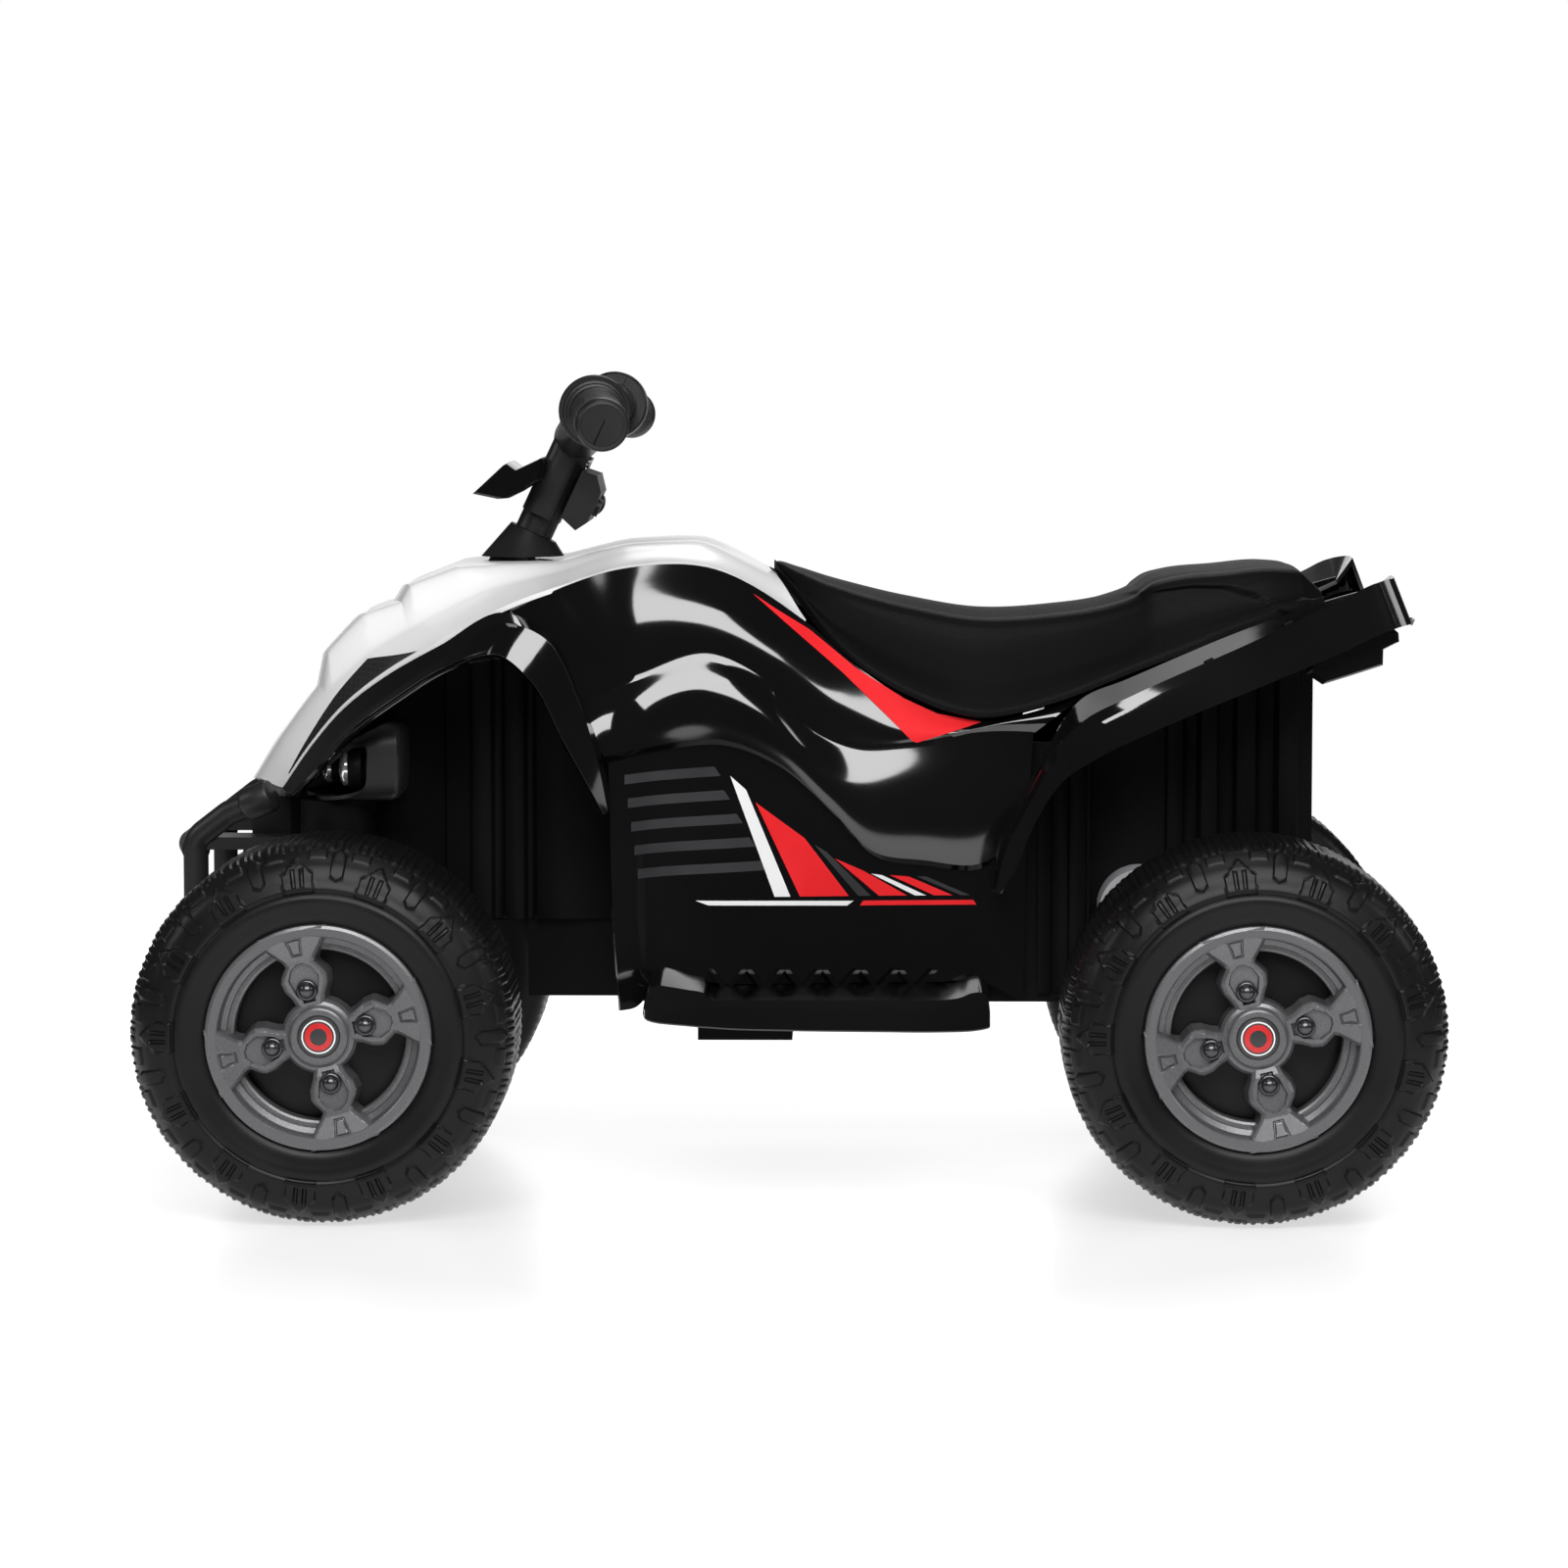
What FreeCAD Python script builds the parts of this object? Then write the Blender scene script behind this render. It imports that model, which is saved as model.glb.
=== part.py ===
import FreeCAD, Part
import math
import os

# A child's electric quad bike, as separate mouldings, running gear and controls.
# Millimetres. X points forward, Y to the rider's left, Z up.
# The origin is on the floor, midway between the axles on the centre line.

V = FreeCAD.Vector

# Wheels and axles
WHEELBASE = 575.0
TRACK = 372.0
TYRE_DIAMETER = 238.0
TYRE_WIDTH = 108.0
TYRE_WALL = 4.0
WHEEL_FACE_DEPTH = 24.0
RIM_RADIUS = 70.0
RIM_GAP = 0.6
RIM_BAND = 10.0
SPOKE_COUNT = 4
SPOKE_WIDTH = 17.0
SPOKE_TURN = 14.0
SPOKE_THICK = 14.0
BOLT_CIRCLE_RADIUS = 28.0
BOLT_DOME_RADIUS = 5.0
HUB_RADIUS = 18.5
HUB_CAP_RADIUS = 12.6
HUB_CAP_THICK = 5.0
HUB_CAP_GAP = 0.3
BARREL_RADIUS = 16.0
AXLE_RADIUS = 6.0
RUNNING_GAP = 0.05
NUT_FLATS = 18.0
NUT_THICK = 8.0
FACE_GAP = 0.3
BARREL_SETBACK = 4.0

# Front steering
KINGPIN_Y = 100.0
KINGPIN_RADIUS = 6.0
KINGPIN_COVER = 12.0
TOWER_RADIUS = 24.0
TOWER_RISE = 31.0
TOWER_CLEAR = 16.0
KNUCKLE_SIZE = 28.0
STEER_ARM = 30.0
STEER_ARM_WIDTH = 16.0
STEER_ARM_THICK = 8.0
STEER_ARM_DROP = 1.0
TIE_PIN_RADIUS = 4.0
TIE_ROD_WIDTH = 18.0
TIE_ROD_THICK = 7.5
TIE_PIN_LENGTH = 10.0
CRANK_HOLE_RADIUS = 6.5

# Steering column and handlebar
RAKE = 25.0
COLUMN_SETBACK = 109.5
COLUMN_CLEAR = 162.0
COLUMN_RADIUS = 8.0
COLUMN_FOOT_RISE = 31.0
COLUMN_IN_STEM = 52.0
BUSH_RADIUS = 13.0
BUSH_LENGTH = 14.0
BOOT_BASE_RADIUS = 27.0
BOOT_TOP_RADIUS = 16.0
BOOT_BASE_RISE = 4.0
BOOT_HEIGHT = 17.0
BOOT_NECK_RADIUS = 19.0
BOOT_NECK_LENGTH = 16.0
STEM_WIDTH = 38.0
STEM_DEPTH = 26.0
STEM_LENGTH = 82.0
STEM_COLLAR_RADIUS = 12.5
STEM_COLLAR_LENGTH = 12.0
BAR_RADIUS = 15.0
BAR_WALL = 3.0
FLANGE_Y = 130.0
FLANGE_RADIUS = 22.0
FLANGE_THICK = 6.0
GRIP_END_Y = 210.0
GRIP_RADIUS = 15.3
GRIP_SWEEP = 9.0
GRIP_DROOP = 8.0
FLANGE_SETBACK = 18.0
FLANGE_RISE = 20.0

# Shells
WALL = 3.0
SEAM = 0.6
ARCH_GAP = 160.0
TUB_HALF_WIDTH = 97.0
TUB_RISE = 5.0
TUB_CLEAR = 52.0
TUB_FRONT_GAP = 182.5
NECK_FRONT_GAP = 118.5
REAR_TUB_HALF_WIDTH = 88.0
REAR_TUB_RISE = 71.0
REAR_TUB_CLEAR = 79.0
REAR_TUB_OVERHANG = 42.5
REAR_TUB_LENGTH = 140.0
PILLAR_HALF_WIDTH = 70.0
PILLAR_RISE = 54.0
FOOT_OUTER_Y = 205.0
FOOT_RISE = 19.0
FOOT_DEPTH = 19.0
FOOT_FRONT_GAP = 200.0
FOOT_REAR_GAP = 165.0
FOOT_KICK_Y = 138.0
FOOT_RIB_BAND = 19.0
SIDE_STANDOFF = 13.0
TAIL_HALF_WIDTH = 108.0
FENDER_LIP_Y = 180.0
WING_LIP_Y = 175.0
SEAT_GAP = 1.5
BUMPER_TUBE_RADIUS = 8.0
BUMPER_HALF_WIDTH = 78.0

# Drive, battery and electrics
GEAR_MODULE = 1.25
GEAR_TEETH = 80
PINION_TEETH = 16
GEAR_THICK = 9.0
DRIVE_ANGLE = 45.0
GEARBOX_OUTER_Y = 124.0
GEARBOX_RADIUS = 58.0
GEARBOX_NOSE_RADIUS = 27.0
GEARBOX_NOSE_REACH = 93.0
GEARBOX_WALL = 2.5
SLEEVE_RADIUS = 14.0
MOTOR_RADIUS = 18.0
MOTOR_LENGTH = 52.0
MOTOR_SHAFT_RADIUS = 1.6
BATTERY_LENGTH = 151.0
BATTERY_WIDTH = 65.0
BATTERY_HEIGHT = 94.0
BATTERY_SETBACK = 257.5
DOOR_LENGTH = 61.0
DOOR_WIDTH = 120.0
DOOR_DEPTH = 30.0
CONTROL_LENGTH = 70.0
CONTROL_WIDTH = 50.0
CONTROL_HEIGHT = 24.0
SOCKET_RADIUS = 9.0
SOCKET_BORE_RADIUS = 3.2
SOCKET_DEPTH = 14.0
SOCKET_INSET = 22.0
SOCKET_RISE = 60.0
PEDAL_LENGTH = 62.0
PEDAL_WIDTH = 44.0
PEDAL_THICK = 4.0
PEDAL_RISE = 14.0
PEDAL_PRESS = 10.0
PEDAL_PIN_RADIUS = 2.5
PEDAL_HINGE_SETBACK = 81.5
PEDAL_HINGE_RISE = 6.0
EAR_THICK = 5.0
BUTTON_RADIUS = 6.0
BUTTON_TRAVEL = 2.0
BUTTON_PROUD = 3.0
ROCKER_SIZE = 14.0
ROCKER_PIN_RADIUS = 1.5
SCREW_HEAD_RADIUS = 3.6
SCREW_HEAD_THICK = 2.2

FRONT_X = WHEELBASE / 2
REAR_X = -WHEELBASE / 2
AXLE_Z = TYRE_DIAMETER / 2
WHEEL_Y = TRACK / 2
TOWER_BOTTOM = AXLE_Z + TOWER_RISE
TOWER_TOP = TYRE_DIAMETER + TOWER_CLEAR
KINGPIN_LENGTH = TOWER_TOP - TOWER_BOTTOM - KINGPIN_COVER
STEER_ARM_TOP = AXLE_Z - STEER_ARM_DROP
COLUMN_TOP_X = FRONT_X - COLUMN_SETBACK
COLUMN_TOP_Z = TYRE_DIAMETER + COLUMN_CLEAR
COLUMN_FOOT_Z = AXLE_Z + COLUMN_FOOT_RISE
TUB_FLOOR = AXLE_Z + TUB_RISE
TUB_TOP = TYRE_DIAMETER + TUB_CLEAR
REAR_TUB_FLOOR = AXLE_Z + REAR_TUB_RISE
REAR_TUB_TOP = TYRE_DIAMETER + REAR_TUB_CLEAR
PILLAR_FLOOR = AXLE_Z + PILLAR_RISE
FOOT_TOP = AXLE_Z + FOOT_RISE
FOOT_BOTTOM = FOOT_TOP - FOOT_DEPTH
SIDE_REAR_Y = TUB_HALF_WIDTH + SIDE_STANDOFF
SOCKET_Y = REAR_TUB_HALF_WIDTH - SOCKET_INSET
SOCKET_Z = REAR_TUB_FLOOR + SOCKET_RISE
BATTERY_X = FRONT_X - BATTERY_SETBACK
PEDAL_HINGE_X = FRONT_X - FOOT_FRONT_GAP - PEDAL_HINGE_SETBACK
TILT = math.radians(RAKE)
COLUMN_UP = V(-math.sin(TILT), 0, math.cos(TILT))
COLUMN_BACK = V(-math.cos(TILT), 0, -math.sin(TILT))
ACROSS = V(0, 1, 0)
UP = V(0, 0, 1)
FORWARD = V(1, 0, 0)


def front(offset):
    """X of a place that keeps its distance from the front axle."""
    return FRONT_X + offset


def rear(offset):
    """X of a place that keeps its distance from the rear axle."""
    return REAR_X + offset


def middle(share):
    """X of a place between the wheel arches, as a share of the run from the rear one to the front one."""
    return rear(ARCH_GAP) + (front(-ARCH_GAP) - rear(ARCH_GAP)) * share


def over(height):
    """Height of a place that keeps its distance above the tyres."""
    return TYRE_DIAMETER + height


def column_point(height):
    """Point of the steering axis at a height above the floor."""
    run = (height - COLUMN_TOP_Z) / COLUMN_UP.z
    return V(COLUMN_TOP_X, 0, COLUMN_TOP_Z) + COLUMN_UP * run


def box(x0, x1, y0, y1, z0, z1):
    """Block between two corners."""
    return Part.makeBox(x1 - x0, y1 - y0, z1 - z0, V(x0, y0, z0))


def rod(start, axis, radius, length):
    """Cylinder from a point along an axis."""
    return Part.makeCylinder(radius, length, start, axis)


def rod_between(start, end, radius):
    """Cylinder from one point to another."""
    return rod(start, end - start, radius, (end - start).Length)


def prism(outline, y0, y1):
    """Side outline of X and Z points, carried across from y0 to y1."""
    points = [V(x, y0, z) for x, z in outline]
    face = Part.Face(Part.makePolygon(points + points[:1]))
    return face.extrude(V(0, y1 - y0, 0))


def turned(edges):
    """Closed section of radius and Y edges, turned about the Y axis."""
    return Part.Face(Part.Wire(edges)).revolve(V(0, 0, 0), ACROSS, 360)


def line(a, b):
    """Straight edge of a turned section, from (radius, y) to (radius, y)."""
    return Part.makeLine(V(a[0], a[1], 0), V(b[0], b[1], 0))


def bulge(a, middle, b):
    """Arc of a turned section through three (radius, y) points."""
    return Part.Arc(*[V(r, y, 0) for r, y in (a, middle, b)]).toShape()


def section(points):
    """Edges of a closed straight-sided turned section."""
    return [line(a, b) for a, b in zip(points, points[1:] + points[:1])]


def mirrored(shape):
    """The same piece for the rider's right-hand side."""
    return shape.mirror(V(0, 0, 0), ACROSS)


def smooth_edge(points):
    """Smooth edge through points along a moulding."""
    spline = Part.BSplineCurve()
    spline.interpolate(points)
    return spline.toShape()


def sheet(rows, inner):
    """Moulded sheet between two faces, each given as rows of points that run along it."""
    outer_edges = [smooth_edge(row) for row in rows]
    inner_edges = [smooth_edge(row) for row in inner]
    faces = []
    for edges in (outer_edges, inner_edges):
        faces += [Part.makeRuledSurface(a, b) for a, b in zip(edges, edges[1:])]
    for side in (0, -1):
        faces.append(Part.makeRuledSurface(outer_edges[side], inner_edges[side]))
    for end in (0, -1):
        for k in range(len(rows) - 1):
            outer_end = Part.makeLine(rows[k][end], rows[k + 1][end])
            inner_end = Part.makeLine(inner[k][end], inner[k + 1][end])
            faces.append(Part.makeRuledSurface(outer_end, inner_end))
    shell = Part.makeShell(faces)
    shell.sewShape()
    solid = Part.makeSolid(shell)
    if solid.Volume < 0:
        solid.reverse()
    return solid


def moved(row, shift):
    """A row of points, all moved by one shift."""
    return [p + shift for p in row]


def toward(row, centre, wall):
    """Shifts that carry a row a wall's thickness towards a centre, square to its run in side view."""
    shifts = []
    for before, at, after in zip(row[:1] + row, row, row[1:] + row[-1:]):
        run = after - before
        square = V(run.z, 0, -run.x).normalize() * wall
        if square.dot(centre - at) < 0:
            square = square * -1
        shifts.append(square)
    return shifts


def between(points, x):
    """Height on a line of (x, z) points at x, straight from point to point."""
    ordered = sorted(points)
    for (xa, za), (xb, zb) in zip(ordered, ordered[1:]):
        if x <= xb:
            return za + (zb - za) * (x - xa) / (xb - xa)
    return ordered[-1][1]


# Seat lines, used by the seat and by what meets it: X, top, bottom, half width below and above.
SEAT_STATIONS = [
    (middle(0.5412), over(162), over(155), 14, 10),
    (middle(0.4863), over(159), over(139), 50, 36),
    (middle(0.3843), over(151), over(109), 82, 55),
    (middle(0.2039), over(140), over(80), 98, 63),
    (middle(0.0275), over(133), over(67), 105, 67),
    (rear(122), over(135), over(76), 108, 72),
    (rear(76), over(143), over(93), 106, 78),
    (rear(48), over(157), over(104), 104, 80),
    (rear(-12), over(163), over(127), 92, 76),
    (rear(-52), over(146), over(136), 76, 60),
]
SEAT_BOTTOM = [(x, low) for x, top, low, wide, narrow in SEAT_STATIONS]


def seat_bottom(x):
    """Height of the seat's underside at x."""
    return between(SEAT_BOTTOM, x)


# Top line of the rear fenders in side view, used by the fenders and by the posts that carry them.
WING_TOP = [(rear(x), over(z)) for x, z in (
    (161, -36), (155, -5), (141, 21), (126, 48), (103, 72), (76, 86), (0, 122), (-60, 150), (-88, 161))]
WING_DROP = 3.0


def wing_under(x):
    """Height just below a rear fender's inner edge at x."""
    return between(WING_TOP, x) - WING_DROP - 1.2 * WALL - FACE_GAP


def wheel_parts():
    """Tyre, rim cover, hub cap and nut of a left wheel, about the origin with its face towards +Y."""
    outer = TYRE_DIAMETER / 2
    half = TYRE_WIDTH / 2
    bore = AXLE_RADIUS + RUNNING_GAP
    face = half - WHEEL_FACE_DEPTH
    barrel_end = BARREL_SETBACK - half
    shoulder = outer - 9
    rim = RIM_RADIUS
    wall = TYRE_WALL
    tyre = turned([
        line((bore, face), (rim - 12, face - 4)),
        line((rim - 12, face - 4), (rim - 4, half - 10)),
        line((rim - 4, half - 10), (rim + 2, half - 2)),
        bulge((rim + 2, half - 2), (rim + 21, half), (shoulder, half - 12)),
        bulge((shoulder, half - 12), (outer - 2, half - 21), (outer, half - 32)),
        line((outer, half - 32), (outer, 10 - half)),
        bulge((outer, 10 - half), (outer - 3, 3 - half), (shoulder, -half)),
        line((shoulder, -half), (rim - 6, -half)),
        line((rim - 6, -half), (rim - 6, wall - half)),
        line((rim - 6, wall - half), (shoulder - 2, wall - half)),
        line((shoulder - 2, wall - half), (outer - wall, 10 - half)),
        line((outer - wall, 10 - half), (outer - wall, half - 33)),
        line((outer - wall, half - 33), (shoulder - wall, half - 16)),
        line((shoulder - wall, half - 16), (rim + 20, half - wall)),
        line((rim + 20, half - wall), (rim + 4, half - wall - 2)),
        line((rim + 4, half - wall - 2), (rim, half - 12)),
        line((rim, half - 12), (rim - 8, face - 4 - wall)),
        line((rim - 8, face - 4 - wall), (BARREL_RADIUS, face - 2 - wall)),
        line((BARREL_RADIUS, face - 2 - wall), (BARREL_RADIUS, barrel_end)),
        line((BARREL_RADIUS, barrel_end), (bore, barrel_end)),
        line((bore, barrel_end), (bore, face)),
    ])
    seat = RIM_GAP
    ring = turned(section([
        (rim - 12 + 0.5, face - 4 + seat + 1),
        (rim - 4 - seat, half - 10 + 0.4),
        (rim + 2 - seat, half - 2 + seat),
        (rim - 1, half - 0.5),
        (rim - RIM_BAND + 3, half - 5),
        (rim - RIM_BAND - 3, half - 14),
        (rim - RIM_BAND - 6, face - 1.5),
        (rim - RIM_BAND - 6, face - 3.2 + seat),
    ]))
    spoke_low = face + 1
    spoke_high = spoke_low + SPOKE_THICK
    half_spoke = SPOKE_WIDTH / 2
    reach = rim - RIM_BAND - 2
    outline = [
        (HUB_RADIUS - 3, -half_spoke),
        (reach - 18, -half_spoke),
        (reach, -half_spoke - 6),
        (reach, half_spoke + 6),
        (reach - 18, half_spoke),
        (HUB_RADIUS - 3, half_spoke),
    ]
    spoke = prism(outline, spoke_low, spoke_high)
    dome = Part.makeSphere(BOLT_DOME_RADIUS, V(BOLT_CIRCLE_RADIUS, spoke_high, 0))
    hub = rod(V(0, spoke_low, 0), ACROSS, HUB_RADIUS, SPOKE_THICK + 2)
    rim_cover = ring.fuse([hub])
    for k in range(SPOKE_COUNT):
        angle = SPOKE_TURN + 360.0 / SPOKE_COUNT * k
        for piece in (spoke, dome):
            placed = piece.copy()
            placed.rotate(V(0, 0, 0), ACROSS, angle)
            rim_cover = rim_cover.fuse(placed)
    pocket = HUB_CAP_RADIUS + HUB_CAP_GAP
    rim_cover = rim_cover.cut(rod(V(0, face - 10, 0), ACROSS, pocket, WHEEL_FACE_DEPTH + 10))
    cap_back = spoke_high + 2 - HUB_CAP_THICK
    cap = rod(V(0, cap_back, 0), ACROSS, HUB_CAP_RADIUS, HUB_CAP_THICK)
    curve = HUB_CAP_RADIUS * 4
    crown = Part.makeSphere(curve, V(0, cap_back + HUB_CAP_THICK + 1.5 - curve, 0))
    tall = rod(V(0, cap_back, 0), ACROSS, HUB_CAP_RADIUS, HUB_CAP_THICK + 1.5)
    cap = cap.fuse(tall.common(crown))
    corner = NUT_FLATS / 2 / math.cos(math.pi / 6)
    hexagon = [V(corner * math.cos(math.pi / 3 * k), face + FACE_GAP, corner * math.sin(math.pi / 3 * k))
               for k in range(7)]
    nut = Part.Face(Part.makePolygon(hexagon)).extrude(V(0, NUT_THICK, 0))
    nut = nut.cut(rod(V(0, face, 0), ACROSS, AXLE_RADIUS + RUNNING_GAP, NUT_THICK + 2))
    return tyre, rim_cover, cap, nut


def toothed_disc(teeth, thick, turn):
    """Spur gear about the Y axis: blunt teeth with room to run, as light toy gears have."""
    pitch_radius = GEAR_MODULE * teeth / 2
    root = pitch_radius - 1.15 * GEAR_MODULE
    tip = pitch_radius + 0.8 * GEAR_MODULE
    step = 2 * math.pi / teeth
    points = []
    for k in range(teeth):
        middle = turn + k * step
        for radius, share in ((root, -0.29), (tip, -0.10), (tip, 0.10), (root, 0.29)):
            angle = middle + share * step
            points.append(V(radius * math.cos(angle), 0, radius * math.sin(angle)))
    return Part.Face(Part.makePolygon(points + points[:1])).extrude(V(0, thick, 0))


def drive_parts():
    """Gearbox case, motor, drive gear and pinion of the left rear wheel, in place."""
    axle = V(REAR_X, 0, AXLE_Z)
    lean = math.radians(DRIVE_ANGLE)
    heading = V(math.cos(lean), 0, math.sin(lean))
    centres = GEAR_MODULE * (GEAR_TEETH + PINION_TEETH) / 2
    pinion_at = axle + heading * centres
    nose_at = axle + heading * GEARBOX_NOSE_REACH
    inner_y = REAR_TUB_HALF_WIDTH
    depth = GEARBOX_OUTER_Y - inner_y

    def pod(radius_cut, y0, length):
        """Round case over the gear with a nose over the motor end, joined by straight flanks."""
        big = GEARBOX_RADIUS - radius_cut
        small = GEARBOX_NOSE_RADIUS - radius_cut
        spread = math.acos((big - small) / GEARBOX_NOSE_REACH)
        corners = []
        turns = ((axle, big, 1), (nose_at, small, 1), (nose_at, small, -1), (axle, big, -1))
        for centre, radius, side in turns:
            angle = lean + side * spread
            corners.append((centre.x + radius * math.cos(angle), centre.z + radius * math.sin(angle)))
        flanks = prism(corners, y0, y0 + length)
        drums = [rod(V(c.x, y0, c.z), ACROSS, r, length) for c, r in ((axle, big), (nose_at, small))]
        return flanks.fuse(drums)

    case = pod(0, inner_y, depth).cut(pod(GEARBOX_WALL, inner_y + GEARBOX_WALL, depth - 2 * GEARBOX_WALL))
    axle_bore = rod(V(axle.x, 0, axle.z), ACROSS, AXLE_RADIUS + RUNNING_GAP, GEARBOX_OUTER_Y)
    sleeve_hole = SLEEVE_RADIUS + FACE_GAP
    sleeve_bore = rod(V(axle.x, GEARBOX_OUTER_Y - 2 * GEARBOX_WALL, axle.z), ACROSS, sleeve_hole, 20)
    shaft_hole = MOTOR_SHAFT_RADIUS + FACE_GAP
    shaft_bore = rod(V(pinion_at.x, 0, pinion_at.z), ACROSS, shaft_hole, inner_y + 2 * GEARBOX_WALL)
    case = case.cut([axle_bore, sleeve_bore, shaft_bore])

    gear_y = inner_y + depth / 2 - GEAR_THICK / 2
    wheel_end = WHEEL_Y - TYRE_WIDTH / 2 + BARREL_SETBACK
    gear = toothed_disc(GEAR_TEETH, GEAR_THICK, lean)
    gear.translate(V(axle.x, gear_y, axle.z))
    gear = gear.fuse(rod(V(axle.x, gear_y, axle.z), ACROSS, SLEEVE_RADIUS, wheel_end - gear_y))
    gear = gear.cut(rod(V(axle.x, 0, axle.z), ACROSS, AXLE_RADIUS + RUNNING_GAP, wheel_end + 5))

    motor = rod(V(pinion_at.x, inner_y - MOTOR_LENGTH, pinion_at.z), ACROSS, MOTOR_RADIUS, MOTOR_LENGTH)
    boss = rod(V(pinion_at.x, inner_y - MOTOR_LENGTH - 3, pinion_at.z), ACROSS, MOTOR_RADIUS / 3, 4)
    shaft_end = gear_y + GEAR_THICK
    shaft = rod(V(pinion_at.x, inner_y - 2, pinion_at.z), ACROSS, MOTOR_SHAFT_RADIUS, shaft_end + 2 - inner_y)
    motor = motor.fuse([boss, shaft])

    half_step = math.pi / PINION_TEETH
    pinion = toothed_disc(PINION_TEETH, GEAR_THICK, lean + math.pi + half_step)
    pinion.translate(V(pinion_at.x, gear_y, pinion_at.z))
    pinion_hole = MOTOR_SHAFT_RADIUS + RUNNING_GAP
    pinion = pinion.cut(rod(V(pinion_at.x, gear_y - 1, pinion_at.z), ACROSS, pinion_hole, GEAR_THICK + 2))
    return case, motor, gear, pinion


def pillar_outline(inset):
    """Side outline of the hollow front pillar that carries the steering, drawn in by its wall."""
    return [
        (front(-TUB_FRONT_GAP) - 2 * WALL, TUB_FLOOR + inset),
        (front(-NECK_FRONT_GAP) - inset, TUB_FLOOR + inset),
        (front(-NECK_FRONT_GAP) - inset, PILLAR_FLOOR + inset),
        (front(34 - inset), PILLAR_FLOOR + inset),
        (front(34 - inset), over(18) - inset / 2),
        (front(12 - inset), over(46) - inset),
        (front(-38), over(96) - inset),
        (front(-122 + inset), over(104) - inset),
        (front(-TUB_FRONT_GAP) - 2 * WALL, TUB_TOP - inset),
    ]


def bush_at(height):
    """Plain bush on the steering column, centred on its axis at a height."""
    foot = column_point(height) - COLUMN_UP * (BUSH_LENGTH / 2)
    return rod(foot, COLUMN_UP, BUSH_RADIUS, BUSH_LENGTH)


LOWER_BUSH_Z = PILLAR_FLOOR + WALL / 2
UPPER_BUSH_Z = between(pillar_outline(0)[5:8], column_point(over(100)).x) - WALL / 2


SEAT_RESTS = (rear(48), rear(-12))


def chassis_tub():
    """Open tub with a narrower tail, a hollow front pillar and two kingpin towers, in one moulding."""
    tub_front = front(-TUB_FRONT_GAP)
    tub_back = rear(REAR_TUB_LENGTH - REAR_TUB_OVERHANG)
    tail = rear(-REAR_TUB_OVERHANG)
    wide = TUB_HALF_WIDTH
    slim = REAR_TUB_HALF_WIDTH
    outer = box(tub_back, tub_front, -wide, wide, TUB_FLOOR, TUB_TOP)
    outer = outer.fuse([
        box(tail, tub_back + WALL, -slim, slim, REAR_TUB_FLOOR, REAR_TUB_TOP),
        prism(pillar_outline(0), -PILLAR_HALF_WIDTH, PILLAR_HALF_WIDTH),
    ])
    for side in (1, -1):
        tower = rod(V(FRONT_X, side * KINGPIN_Y, TOWER_BOTTOM), UP, TOWER_RADIUS, TOWER_TOP - TOWER_BOTTOM)
        web_in = side * (PILLAR_HALF_WIDTH - WALL)
        web = box(front(-12), front(12), min(web_in, side * KINGPIN_Y), max(web_in, side * KINGPIN_Y),
                  PILLAR_FLOOR, TOWER_TOP - 4)
        outer = outer.fuse([tower, web])
    hollow = [
        box(tub_back + WALL, tub_front - WALL, WALL - wide, wide - WALL, TUB_FLOOR + WALL, TUB_TOP + 1),
        box(tail + WALL, tub_back + 2 * WALL, WALL - slim, slim - WALL,
            REAR_TUB_FLOOR + WALL, REAR_TUB_TOP + 1),
        prism(pillar_outline(WALL), WALL - PILLAR_HALF_WIDTH, PILLAR_HALF_WIDTH - WALL),
    ]
    tub = outer.cut(hollow)
    holes = [bush_at(LOWER_BUSH_Z), bush_at(UPPER_BUSH_Z)]
    for side in (1, -1):
        pin_hole = KINGPIN_RADIUS + RUNNING_GAP
        holes.append(rod(V(FRONT_X, side * KINGPIN_Y, TOWER_BOTTOM - 1), UP, pin_hole, KINGPIN_LENGTH + 2))
    holes.append(box(BATTERY_X - DOOR_LENGTH / 2 + 4, BATTERY_X + DOOR_LENGTH / 2 - 4,
                     4 - DOOR_WIDTH / 2, DOOR_WIDTH / 2 - 4, TUB_FLOOR - 1, TUB_FLOOR + WALL + 1))
    holes.append(rod(V(tail - 1, SOCKET_Y, SOCKET_Z), FORWARD, SOCKET_RADIUS + FACE_GAP, WALL + 2))
    tub = tub.cut(holes)
    ribs = []
    post_foot = AXLE_Z + GEARBOX_RADIUS + 55
    for x in (rear(20), rear(-30)):
        post = [(x, post_foot), (x + 5, post_foot), (x + 5, wing_under(x + 5)), (x, wing_under(x))]
        for side in (1, -1):
            y0, y1 = sorted((side * (slim - 1), side * (slim + 14)))
            ribs.append(prism(post, y0, y1))
    for x in SEAT_RESTS:
        rest = seat_bottom(x) - SEAT_GAP
        ribs.append(box(x - 3, x + 3, -50, 50, REAR_TUB_FLOOR + 1, rest).cut(
            box(x - 4, x + 4, -30, 30, REAR_TUB_FLOOR + WALL + 2, rest - 20)))
    return tub.fuse(ribs)


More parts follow.
